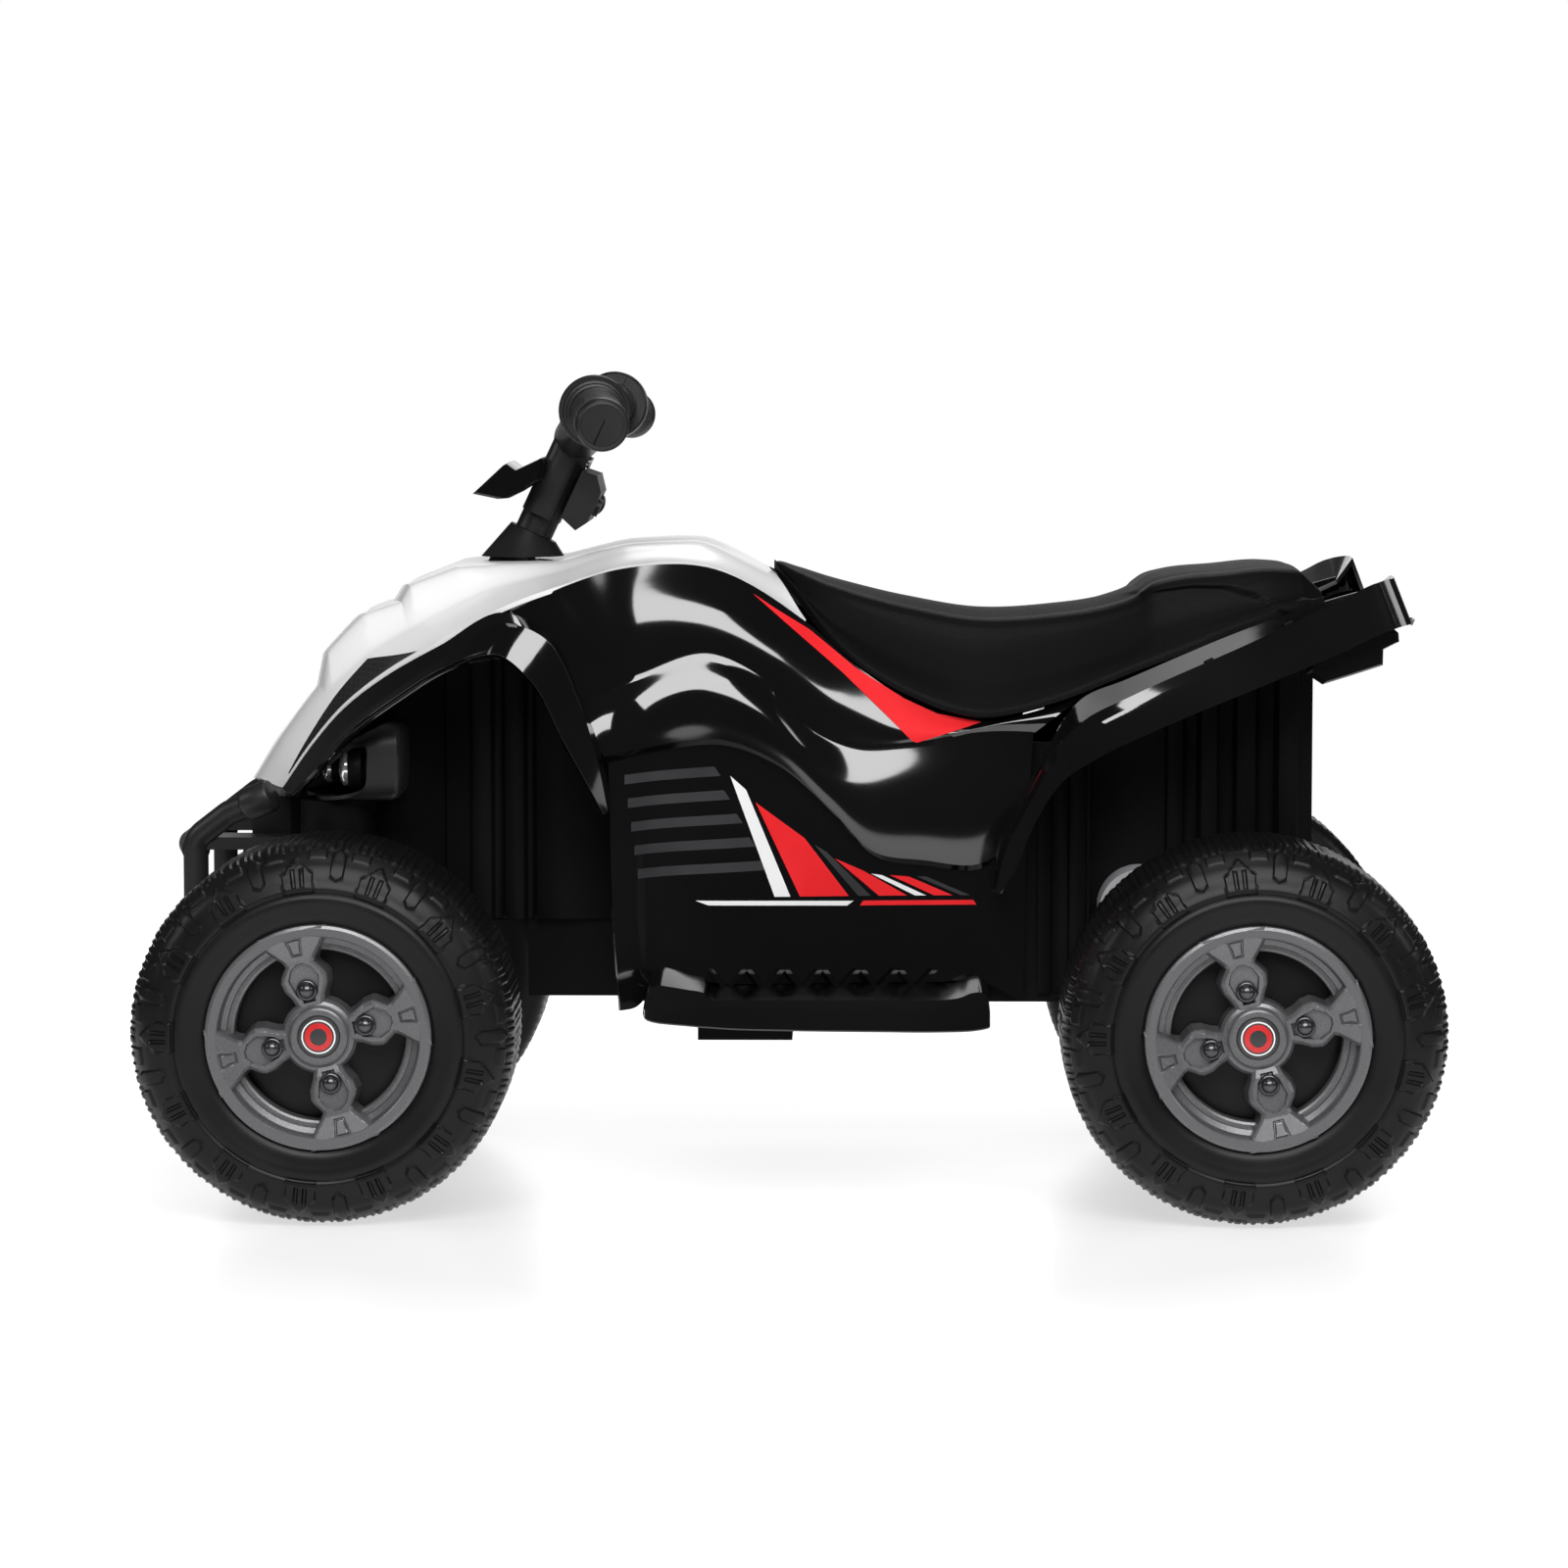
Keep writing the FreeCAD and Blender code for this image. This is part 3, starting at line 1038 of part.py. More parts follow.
def column_boot():
    """Cone-shaped collar where the column leaves the cowl, with a neck through the cowl's hole."""
    foot = column_point(COLUMN_TOP_Z + BOOT_BASE_RISE)
    base = Part.Wire(Part.makeCircle(BOOT_BASE_RADIUS, foot, UP))
    top = Part.Wire(Part.makeCircle(BOOT_TOP_RADIUS, BOOT_TOP, COLUMN_UP))
    cone = Part.makeLoft([base, top], True, True)
    neck = rod(foot + COLUMN_UP, COLUMN_UP * -1, BOOT_NECK_RADIUS, BOOT_NECK_LENGTH)
    bore = rod(column_point(COLUMN_TOP_Z - 40), COLUMN_UP, COLUMN_RADIUS + 1, 100)
    return cone.fuse(neck).cut(bore)


def column_bushes():
    """Two plain bushes that the column turns in."""
    bushes = []
    for height in (LOWER_BUSH_Z, UPPER_BUSH_Z):
        foot = column_point(height) - COLUMN_UP * (BUSH_LENGTH / 2)
        body = rod(foot, COLUMN_UP, BUSH_RADIUS - RUNNING_GAP, BUSH_LENGTH)
        bore = rod(foot - COLUMN_UP * 20, COLUMN_UP, COLUMN_RADIUS + RUNNING_GAP, BUSH_LENGTH + 40)
        bushes.append(body.cut(bore))
    return Part.makeCompound(bushes)


def handlebar_screws():
    """Screws that hold the halves of the handlebar together, from behind."""
    heads = []
    for side in (1, -1):
        at = STEM_FOOT + COLUMN_UP * (STEM_LENGTH - 26) + COLUMN_BACK * (STEM_DEPTH / 2) + ACROSS * (side * 9)
        heads.append(rod(at, COLUMN_BACK, SCREW_HEAD_RADIUS, SCREW_HEAD_THICK))
    return Part.makeCompound(heads)


def battery():
    """Sealed battery block on the tub floor."""
    y = BATTERY_WIDTH / 2
    floor = TUB_FLOOR + WALL
    back = BATTERY_X - BATTERY_LENGTH / 2
    block = box(back, back + BATTERY_LENGTH, -y, y, floor, floor + BATTERY_HEIGHT)
    tabs = [box(BATTERY_X + s * 55 - 3, BATTERY_X + s * 55 + 3, -3, 3, floor + BATTERY_HEIGHT - 1,
                floor + BATTERY_HEIGHT + 6) for s in (-1, 1)]
    return block.fuse(tabs)


def battery_door():
    """Shallow tray-shaped door below the tub floor."""
    x0 = BATTERY_X - DOOR_LENGTH / 2
    y = DOOR_WIDTH / 2
    tray = box(x0, x0 + DOOR_LENGTH, -y, y, TUB_FLOOR - DOOR_DEPTH, TUB_FLOOR)
    return tray.cut(box(x0 + WALL, x0 + DOOR_LENGTH - WALL, WALL - y, y - WALL, TUB_FLOOR - DOOR_DEPTH + WALL,
                        TUB_FLOOR + 1))


def control_box():
    """Receiver and motor control module, across the floor of the tub's tail between the seat rests."""
    x = (SEAT_RESTS[0] + SEAT_RESTS[1] - CONTROL_WIDTH) / 2
    y = CONTROL_LENGTH / 2
    floor = REAR_TUB_FLOOR + WALL
    case = box(x, x + CONTROL_WIDTH, -y, y, floor, floor + CONTROL_HEIGHT)
    return case.makeFillet(2.0, [e for e in case.Edges if e.CenterOfMass.z > floor + CONTROL_HEIGHT - 0.5])


def charge_socket():
    """Charging socket through the rear wall, open to the back."""
    tail = rear(-REAR_TUB_OVERHANG)
    at = V(tail - 2, SOCKET_Y, SOCKET_Z)
    body = rod(at, FORWARD, SOCKET_RADIUS, SOCKET_DEPTH + 6)
    flange = rod(at, FORWARD, SOCKET_RADIUS + 3, 2)
    bore = rod(at - FORWARD, FORWARD, SOCKET_BORE_RADIUS, SOCKET_DEPTH + 1)
    return body.fuse(flange).cut(bore)


def rear_axle():
    """Steel bar on which both rear wheels turn."""
    tip = WHEEL_Y + TYRE_WIDTH / 2 - WHEEL_FACE_DEPTH + FACE_GAP + NUT_THICK + 1
    return rod(V(REAR_X, -tip, AXLE_Z), ACROSS, AXLE_RADIUS, 2 * tip)


def body_screws():
    """Screw heads that fix the footboards to the tub, seen from below."""
    screws = []
    for side in (1, -1):
        for x in (front(-FOOT_FRONT_GAP - 60), rear(FOOT_REAR_GAP + 60)):
            at = V(x, side * (TUB_HALF_WIDTH + WALL), (FOOT_TOP + FOOT_BOTTOM) / 2)
            screws.append(rod(at, ACROSS * side, SCREW_HEAD_RADIUS, SCREW_HEAD_THICK))
    return Part.makeCompound(screws)


def place(shape, x, y):
    """Wheel piece moved to its axle, mirrored on the right-hand side."""
    moved = shape.copy()
    if y < 0:
        moved = mirrored(moved)
    moved.translate(V(x, y, AXLE_Z))
    return moved


parts = {}
parts["chassis_tub"] = chassis_tub()
cover, cover_edge = cowl()
parts["front_cowl"] = cover
pairs = {
    "body_side": body_side(cover_edge),
    "front_fender": fender(cover_edge),
    "rear_fender": rear_fender(),
    "headlamp_housing": headlamp_housing(),
    "knuckle": knuckle(),
}
case, motor, gear, pinion = drive_parts()
pairs.update({"gearbox": case, "drive_motor": motor, "drive_gear": gear, "motor_pinion": pinion})
for name, shape in pairs.items():
    parts[name + "_left"] = shape
    parts[name + "_right"] = mirrored(shape)
board = footboard()
parts["footboard_left"] = board
parts["footboard_right"] = mirrored(board).fuse(pedal_ears())
parts["pedal"] = pedal()
parts["pedal_switch"] = pedal_switch()
parts["seat"] = seat()
parts["front_bumper"] = bumper()
parts["headlamp_lenses"] = headlamp_lenses()
parts["tail_panel"] = tail_panel()
parts["tie_rod"] = tie_rod()
parts["steering_column"] = steering_column()
parts["handlebar_front"], parts["handlebar_rear"] = handlebar_halves()
parts["windscreen"] = windscreen()
parts["dash_pod"] = dash_pod()
parts["power_button"] = power_button()
parts["direction_rocker"] = direction_rocker()
parts["column_boot"] = column_boot()
parts["column_bushes"] = column_bushes()
parts["handlebar_screws"] = handlebar_screws()
parts["battery"] = battery()
parts["battery_door"] = battery_door()
parts["control_box"] = control_box()
parts["charge_socket"] = charge_socket()
parts["rear_axle"] = rear_axle()
parts["body_screws"] = body_screws()

tyre, rim_cover, hub_cap, nut = wheel_parts()
for end, x in (("front", FRONT_X), ("rear", REAR_X)):
    for side, y in (("left", WHEEL_Y), ("right", -WHEEL_Y)):
        for name, shape in (("tyre", tyre), ("rim", rim_cover), ("hub_cap", hub_cap)):
            parts[name + "_" + end + "_" + side] = place(shape, x, y)
parts["front_nut_left"] = place(nut, FRONT_X, WHEEL_Y)
parts["front_nut_right"] = place(nut, FRONT_X, -WHEEL_Y)
parts["rear_axle_nuts"] = Part.makeCompound([place(nut, REAR_X, WHEEL_Y), place(nut, REAR_X, -WHEEL_Y)])

os.makedirs("parts", exist_ok=True)
for name, shape in parts.items():
    shape.exportStep("parts/" + name + ".step")
    print(name, shape.isValid(), len(shape.Solids), round(shape.Volume / 1000.0, 1))
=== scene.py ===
import math

import bmesh
import bpy
import mathutils
import numpy as np
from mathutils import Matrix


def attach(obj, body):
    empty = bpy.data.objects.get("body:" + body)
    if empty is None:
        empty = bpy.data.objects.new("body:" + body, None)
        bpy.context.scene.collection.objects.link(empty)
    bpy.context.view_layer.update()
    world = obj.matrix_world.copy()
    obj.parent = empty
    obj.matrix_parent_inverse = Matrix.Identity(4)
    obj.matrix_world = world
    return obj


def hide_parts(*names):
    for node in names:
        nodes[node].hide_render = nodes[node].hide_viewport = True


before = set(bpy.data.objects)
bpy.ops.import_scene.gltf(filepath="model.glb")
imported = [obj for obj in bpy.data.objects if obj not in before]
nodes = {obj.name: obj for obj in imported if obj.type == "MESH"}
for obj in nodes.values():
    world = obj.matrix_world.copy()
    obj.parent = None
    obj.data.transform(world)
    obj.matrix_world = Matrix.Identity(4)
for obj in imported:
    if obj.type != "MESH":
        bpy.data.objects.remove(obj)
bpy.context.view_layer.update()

# Chassis tub. One black moulding of tough plastic with a fine sand-blasted grain.
# The steering towers and the tail box belong to it, and every other piece is screwed to it.
MM = 0.001


def finish(name, colour, roughness, **sockets):
    """A material with constant shader values; a keyword such as Coat_Weight names a socket."""
    made = bpy.data.materials.new(name)
    made.use_nodes = True
    shader = made.node_tree.nodes["Principled BSDF"]
    shader.inputs["Base Color"].default_value = (*colour, 1.0)
    shader.inputs["Roughness"].default_value = roughness
    for socket, value in sockets.items():
        shader.inputs[socket.replace("_", " ")].default_value = value
    return made


def grain(material, kind, scale, stretch=(1.0, 1.0, 1.0)):
    """A texture in the piece's own coordinates, scale cells to the metre, longer along some axes."""
    tree = material.node_tree
    place = tree.nodes.new("ShaderNodeTexCoord")
    turn = tree.nodes.new("ShaderNodeMapping")
    turn.inputs["Scale"].default_value = stretch
    texture = tree.nodes.new(kind)
    texture.inputs["Scale"].default_value = scale
    tree.links.new(place.outputs["Object"], turn.inputs["Vector"])
    tree.links.new(turn.outputs["Vector"], texture.inputs["Vector"])
    return texture


def vary(material, socket, output, low, high, start=0.3, stop=0.7):
    """Runs a shader socket from one value to another as a texture goes from start to stop."""
    tree = material.node_tree
    ramp = tree.nodes.new("ShaderNodeValToRGB")
    for stop_at, place, value in zip(ramp.color_ramp.elements, (start, stop), (low, high)):
        stop_at.position = place
        stop_at.color = (*np.broadcast_to(value, 3), 1.0)
    tree.links.new(output, ramp.inputs["Fac"])
    tree.links.new(ramp.outputs["Color"], tree.nodes["Principled BSDF"].inputs[socket])


def emboss(material, output, strength, depth):
    """Presses a texture into the surface as a shallow relief."""
    tree = material.node_tree
    bump = tree.nodes.new("ShaderNodeBump")
    bump.inputs["Strength"].default_value = strength
    bump.inputs["Distance"].default_value = depth
    tree.links.new(output, bump.inputs["Height"])
    tree.links.new(bump.outputs["Normal"], tree.nodes["Principled BSDF"].inputs["Normal"])


def mottle(material, scale, stretch=(1.0, 1.0, 1.0), **ranges):
    """Soft patches, scale to the metre, that run sockets from low to high; a keyword names a socket."""
    patches = grain(material, "ShaderNodeTexNoise", scale, stretch)
    for socket, (low, high) in ranges.items():
        vary(material, socket.replace("_", " "), patches.outputs["Fac"], low, high)


def stipple(material, scale, strength, depth):
    """A fine grain, scale to the metre, pressed into the surface."""
    emboss(material, grain(material, "ShaderNodeTexNoise", scale).outputs["Fac"], strength, depth)


def dress(material, *names):
    """Puts a finish in every slot of CAD nodes."""
    for name in names:
        for held in nodes[name].material_slots:
            held.material = material


grained_black = finish("grained_black_plastic", (0.004, 0.004, 0.0045), 0.42, Specular_IOR_Level=0.07)
mottle(grained_black, 9.0, Base_Color=((0.0025, 0.0025, 0.0029), (0.0045, 0.0045, 0.005)),
       Roughness=(0.36, 0.48))
stipple(grained_black, 900.0, 0.25, 0.0004)
dress(grained_black, "chassis_tub")

# Drive sets behind the rear wheels. Grey glass-filled gear cases, plated motor cans, white nylon gears.
# Each case is screwed to the tail box, and its gear sleeve carries the wheel.
case_grey = finish("grey_gear_case", (0.3, 0.3, 0.31), 0.5)
mottle(case_grey, 60.0, (1.0, 3.0, 1.0), Base_Color=((0.27, 0.27, 0.28), (0.34, 0.34, 0.35)))
stipple(case_grey, 1100.0, 0.2, 0.0003)

plated = finish("plated_steel", (0.55, 0.55, 0.56), 0.28, Metallic=1.0)
mottle(plated, 250.0, (1.0, 8.0, 1.0), Base_Color=((0.48, 0.48, 0.5), (0.6, 0.6, 0.6)), Roughness=(0.2, 0.4))

nylon = finish("white_nylon", (0.72, 0.71, 0.66), 0.42)
mottle(nylon, 40.0, Base_Color=((0.66, 0.65, 0.6), (0.75, 0.74, 0.7)))

for side in ("left", "right"):
    dress(case_grey, "gearbox_" + side)
    dress(plated, "drive_motor_" + side)
    dress(nylon, "drive_gear_" + side, "motor_pinion_" + side)
dress(plated, "rear_axle", "rear_axle_nuts")

# Battery, control module, hatch and charging socket. A sealed grey block behind a hatch of black plastic
# under the floor, and a module and a round socket in the tail box.
dress(case_grey, "battery")
dress(grained_black, "control_box", "battery_door", "charge_socket")

# Steering gear. Black-painted knuckles and tie rod under the towers, a bare steel column in nylon bushes.
# The crank at the column's foot moves the tie rod.
painted_steel = finish("black_painted_steel", (0.012, 0.012, 0.012), 0.35)
mottle(painted_steel, 120.0, Base_Color=(0.010, 0.018), Roughness=(0.28, 0.45))
dress(painted_steel, "knuckle_left", "knuckle_right", "tie_rod")
dress(plated, "steering_column", "front_nut_left", "front_nut_right")
dress(nylon, "column_bushes")

# White top cover over nose, hood and tank. A glossy moulding of white plastic with two ledges on the hood.
# It is screwed to the pillar from below, and the fenders and body sides hang from its edge.
gloss_white = finish("gloss_white_plastic", (0.84, 0.84, 0.845), 0.2)
mottle(gloss_white, 7.0, Base_Color=((0.82, 0.82, 0.825), (0.86, 0.86, 0.865)), Roughness=(0.16, 0.24))
stipple(gloss_white, 45.0, 0.02, 0.001)


def through(points, steps):
    """Cubic run through points along the first axis: at each point the slope is the chord slopes of its two
    neighbouring stretches, weighted by the other's length, so uneven spacing makes no waves."""
    points = np.asarray(points, float)
    chord = np.diff(points, axis=0)
    length = np.linalg.norm(chord, axis=-1)
    length = np.maximum(length.reshape(len(length), -1).mean(1), 1e-9)
    shape = (-1,) + (1,) * (points.ndim - 1)
    slope = chord / length.reshape(shape)
    before, after = length[:-1].reshape(shape), length[1:].reshape(shape)
    inner = (slope[:-1] * after + slope[1:] * before) / (before + after)
    tangent = np.concatenate([slope[:1], inner, slope[-1:]])
    t = np.linspace(0, 1, steps, endpoint=False).reshape((1, -1) + (1,) * (points.ndim - 1))
    run = length.reshape((-1, 1) + (1,) * (points.ndim - 1))
    start, end = points[:-1, None], points[1:, None]
    leave, arrive = tangent[:-1, None] * run, tangent[1:, None] * run
    dense = ((2 * t**3 - 3 * t**2 + 1) * start + (t**3 - 2 * t**2 + t) * leave
             + (3 * t**2 - 2 * t**3) * end + (t**3 - t**2) * arrive)
    return np.concatenate([dense.reshape((-1,) + points.shape[1:]), points[-1:]])


def surface(name, *sheets, crisp=40.0):
    """Mesh of the quads between neighbouring points of each sheet, rows by columns. Points that meet are
    welded, so a sheet that closes on itself has no seam, and edges sharper than crisp degrees stay sharp."""
    corners, quads, first = [], [], 0
    for sheet in sheets:
        rows, columns = sheet.shape[:2]
        index = first + np.arange(rows * columns).reshape(rows, columns)
        around = [index[:-1, :-1], index[1:, :-1], index[1:, 1:], index[:-1, 1:]]
        quads.append(np.stack(around, -1).reshape(-1, 4))
        corners.append(np.asarray(sheet, float).reshape(-1, 3))
        first += rows * columns
    mesh = bpy.data.meshes.new(name)
    mesh.from_pydata(np.concatenate(corners).tolist(), [], np.concatenate(quads).tolist())
    work = bmesh.new()
    work.from_mesh(mesh)
    bmesh.ops.remove_doubles(work, verts=work.verts, dist=2e-6)
    bmesh.ops.dissolve_degenerate(work, edges=work.edges, dist=1e-7)
    work.to_mesh(mesh)
    work.free()
    mesh.polygons.foreach_set("use_smooth", np.ones(len(mesh.polygons), bool))
    mesh.set_sharp_from_angle(angle=math.radians(crisp))
    made = bpy.data.objects.new(name, mesh)
    bpy.context.scene.collection.objects.link(made)
    return made


def moulded(made, wall, edge):
    """Gives a sheet its wall thickness inwards and a small radius on its cut edges."""
    shell = made.modifiers.new("wall", "SOLIDIFY")
    shell.thickness = wall
    shell.offset = -1.0
    rounding = made.modifiers.new("edge", "BEVEL")
    rounding.width = edge
    rounding.segments = 2
    rounding.limit_method = "ANGLE"
    rounding.angle_limit = math.radians(50)
    rounding.harden_normals = True
    return made


def fit(made, material, slot, body, *stands_for):
    """Gives a piece its finish and its body, and hides the CAD nodes it stands for."""
    made.data.materials.append(material)
    if stands_for:
        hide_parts(*stands_for)
    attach(made, body)
    return made


def same_side(sheet):
    """A sheet as it is, for the rider's left."""
    return sheet


def other_side(sheet):
    """The same sheet for the rider's right, with its rows turned round so that it still faces outwards."""
    return sheet[::-1] * (1, -1, 1)


SIDES = (("left", same_side), ("right", other_side))
HANDS = (("left", 1), ("right", -1))
EDGE_ROUND = 0.8 * MM

COVER_BASE = np.array([
    (0, 353, 259), (0.66, 338, 284), (1.37, 322, 305), (2, 306, 324), (3, 287, 343), (3.7, 264, 358),
    (4.65, 225, 380), (5, 206, 390), (6, 153.5, 398), (7, 109.5, 409), (8, 59.5, 413), (8.6, 32, 403),
    (9, 15.5, 397)], float)
COVER_PANEL = np.array([
    (0, 0), (1.8, 0), (1.98, 16), (3, 18), (3.74, 12.5), (3.9, 20), (4.65, 17), (5, 11), (6, 3), (7, 1),
    (8, 0), (9, 0)], float)
COVER_EDGE = np.array([
    (325.5, 80, 259), (304.5, 100, 288), (281.5, 120, 314), (250.5, 138, 338), (218.5, 149, 357),
    (177.5, 150, 379), (140.5, 132, 392), (103.5, 106, 402), (53.5, 92, 402), (-9.5, 86, 367)], float)
CROWN = [2, 6, 9, 10, 8, 4, 4, 6, 6, 3]
COLUMN_TOP = np.array([178, 0, 400]) * MM
COLUMN_WAY = np.array([-math.sin(math.radians(25)), 0, math.cos(math.radians(25))])
BOOT_HOLE = 19.5 * MM


def step(value, width):
    """Smooth step from 0 to 1 as a distance goes from minus half the width to plus half of it."""
    t = np.clip(value / width + 0.5, 0, 1)
    return t * t * (3 - 2 * t)


def cover_at(s, share):
    """Places on the top cover: s runs from nose to seat, share from the right edge (-1) to the left (1). The
    height falls from the base line to the edge with share to the power 1.5, plus a crown of sine squared and
    a raised middle panel with two ledges."""
    fine = np.linspace(0, 9, 181)
    base = np.stack([np.interp(fine, COVER_BASE[:, 0], COVER_BASE[:, k]) for k in (1, 2)], -1)
    soft = np.array([1, 2, 3, 4, 5, 4, 3, 2, 1]) / 25
    base[4:-4] = np.stack([np.convolve(base[:, k], soft, "valid") for k in (0, 1)], -1)
    edge = through(COVER_EDGE, 20)
    base_x, base_z, edge_x, edge_y, edge_z = (np.interp(s, fine, line) for line in (*base.T, *edge.T))
    away = np.abs(share)
    fall = away ** 1.5
    x = base_x + (edge_x - base_x) * fall
    z = base_z + (edge_z - base_z) * fall + np.interp(s, np.arange(10), CROWN) * np.sin(np.pi * away) ** 2
    panel = np.interp(s, COVER_PANEL[:, 0], COVER_PANEL[:, 1]) * step(0.6 - away, 0.17)
    return np.stack([x, edge_y * share, z + panel], -1) * MM


cover_s = np.union1d(np.linspace(0, 9, 145), COVER_PANEL[:, 0])[:, None]
cover_share = np.linspace(-1, 1, 101)[None]
cover = surface("top_cover", cover_at(cover_s, cover_share)[::-1], crisp=28.0)
work = bmesh.new()
work.from_mesh(cover.data)
middles = np.array([f.calc_center_median() for f in work.faces]) - COLUMN_TOP
off_axis = np.linalg.norm(middles - (middles @ COLUMN_WAY)[:, None] * COLUMN_WAY, axis=1)
bmesh.ops.delete(work, geom=[f for f, far in zip(work.faces, off_axis) if far < BOOT_HOLE], context="FACES")
work.to_mesh(cover.data)
work.free()
fit(moulded(cover, 3 * MM, EDGE_ROUND), gloss_white, "gloss_white", "chassis", "front_cowl")

# Dark inlays beside the nose. Printed film with a fine mesh pattern, cut to a spear with a slanted end.
# They are stuck on the cover just above its edge.
film_mesh = finish("mesh_film", (0.012, 0.012, 0.013), 0.25)
cells = grain(film_mesh, "ShaderNodeTexVoronoi", 300.0)
cells.feature = "DISTANCE_TO_EDGE"
cells.inputs["Randomness"].default_value = 0.0
vary(film_mesh, "Base Color", cells.outputs["Distance"], (0.03, 0.03, 0.032), (0.007, 0.007, 0.008),
     start=0.05, stop=0.12)
inlay_run, inlay_in = np.linspace(0, 1, 70)[None], np.linspace(1, 0, 10)[:, None]
inlay_s = 0.3 + inlay_run * (3.3 - 0.75 * inlay_in)
inlay_share = 0.965 - inlay_in * (0.02 + 0.22 * inlay_run)
INLAY_PROUD = np.array([0.1, 0.2, 0.3]) * MM
inlay = cover_at(inlay_s, inlay_share) + INLAY_PROUD
for side, flip in SIDES:
    fit(surface("nose_inlay_" + side, flip(inlay)), film_mesh, "matte_black", "chassis")

# Front fenders. Glossy black mouldings from the cover's edge out over the tyres and down behind them.
# Their upper edge hooks under the cover, a crease runs over the top, and the lip is turned in.
gloss_black = finish("gloss_black_plastic", (0.0025, 0.0025, 0.003), 0.08, Specular_IOR_Level=0.9)
mottle(gloss_black, 8.0, Base_Color=((0.002, 0.002, 0.0024), (0.0035, 0.0035, 0.004)), Roughness=(0.06, 0.11))
stipple(gloss_black, 30.0, 0.03, 0.001)

AXLE_X = 287.5
WHEEL_RADIUS = 119
PANEL_WALL = 2.6 * MM


def skin(rows, creases, along, across):
    """Sheet through rows of stations: a cubic run along every row, then a cubic run across the rows that ends
    at each crease row and starts anew."""
    dense = np.stack([through(row, along) for row in rows])
    ends = [0, *creases, len(rows) - 1]
    parts = [through(dense[a:b + 1], across) for a, b in zip(ends, ends[1:])]
    return np.concatenate([parts[0]] + [part[1:] for part in parts[1:]])


def fender_sheet():
    """Left front fender: top, crease and lip lines, and the lip's return towards the wheel."""
    opening = 0.6 + 0.13 * np.arange(6) ** 2
    top = COVER_EDGE[:6] + opening[:, None] * (0, 1, -1)
    top = np.concatenate([top, [(150.5, 158, 362), (130.5, 152, 322), (117.5, 146, 284), (112.5, 140, 256)]])
    crease = np.array([
        (319.5, 100, 257), (300.5, 128, 278), (275.5, 148, 304), (245.5, 158, 327), (215.5, 164, 347.5),
        (175.5, 167, 369), (152.5, 174, 361), (131.5, 176, 324), (118.5, 172, 281), (113.0, 166, 252)])
    lip = np.array([
        (315.5, 112, 256), (295.5, 146, 275), (271.5, 168, 301), (241.5, 176, 323), (211.5, 180, 341),
        (179.5, 180, 350), (161.5, 180, 336), (139.5, 178, 296), (124.5, 174, 268), (115.5, 168, 250)])
    hub = np.array([AXLE_X, 0, WHEEL_RADIUS])
    inward = hub - lip
    inward[:, 1] = 0
    inward /= np.linalg.norm(inward, axis=1, keepdims=True)
    turned = lip + 2.5 * inward - (0, 7, 0)
    return skin([top, crease, lip, turned], (1, 2), 12, 7) * MM


def panel_pair(name, sheet, crisp):
    """A glossy moulding on the left and its mirror image, each in place of the CAD node of that name."""
    for side, flip in SIDES:
        panel = moulded(surface(name + "_skin_" + side, flip(sheet), crisp=crisp), PANEL_WALL, EDGE_ROUND)
        fit(panel, gloss_black, "gloss_black", "chassis", name + "_" + side)


panel_pair("front_fender", fender_sheet(), 40.0)

# Body sides. Glossy black mouldings: tank flank, a raised arch band, a flat engine panel and a skirt.
# They hook under the cover's edge and are screwed to the tub.
SIDE_X = np.array([131.5, 117.5, 97.5, 53.5, 21.5, -12.5, -41.5, -75.5, -122.5, -153.5])
SIDE_OUT = np.array([146, 142, 131, 125, 121, 117, 114, 112, 110, 110], float)
SIDE_SLANT = np.array([-25, -19, -14, -20, -22, -24, -20, -14, 2, 6], float)
SIDE_INSET = np.array([10] * 7 + [8.5, 5.5, 3.5])
SIDE_SWELL = np.array([-2, 3, 5, 5.5, 5.5, 5, 4, 3, 3, 3])
SIDE_FLANK = np.array([314, 322, 332, 345, 332, 298, 287, 290, 297, 296], float)
SIDE_BAND = np.array([284, 286, 289, 293, 279, 247, 221, 216, 214, 240], float)
SIDE_SKIRT = np.array([190, 190, 190, 189, 188, 187, 186, 185, 184, 184], float)
SIDE_FOOT = np.array([124, 125, 138.3, 138.3, 138.3, 138.3, 138.3, 138.3, 138.3, 126])


def side_row(heights, inset, drop, rake):
    """A line of the body side, set in by inset, lowered by drop, and moved along by a share of the slant."""
    return np.stack([SIDE_X + SIDE_SLANT * rake, SIDE_OUT - inset, heights - drop], -1)


def side_sheet():
    """Left body side: rows from the cover's edge and the seat line down to the footboard."""
    top = COVER_EDGE[5:] + (0, 1.2, -1.2)
    top[0] += (-4, -6, -2)
    seat_line = [(-42.5, 91.0, 337.3), (-75.5, 93.9, 316.5), (-122.5, 98.2, 303.9), (-159.5, 101.5, 311.3),
                 (-183.5, 103.7, 319.2)]
    top = np.concatenate([top, seat_line])
    valley = side_row(SIDE_FLANK, SIDE_INSET, 0, 0)
    upper = (top + valley) / 2 + SIDE_SWELL[:, None] * (0, 1, 0)
    fall = SIDE_BAND - SIDE_FLANK
    rows = [top, upper, valley, side_row(SIDE_FLANK + fall * 0.35, 2.5, 0, 0.2),
            side_row(SIDE_FLANK + fall * 0.65, 0.5, 0, 0.4), side_row(SIDE_BAND, 1.5, 0, 0.6),
            side_row(SIDE_BAND, 8, 4, 0.7), side_row(SIDE_SKIRT, 6, 0, 0.8), side_row(SIDE_FOOT, 1, 0, 1.0)]
    return skin(rows, (2, 5, 6), 12, 7) * MM


side_grid = side_sheet()
panel_pair("body_side", side_grid, 32.0)

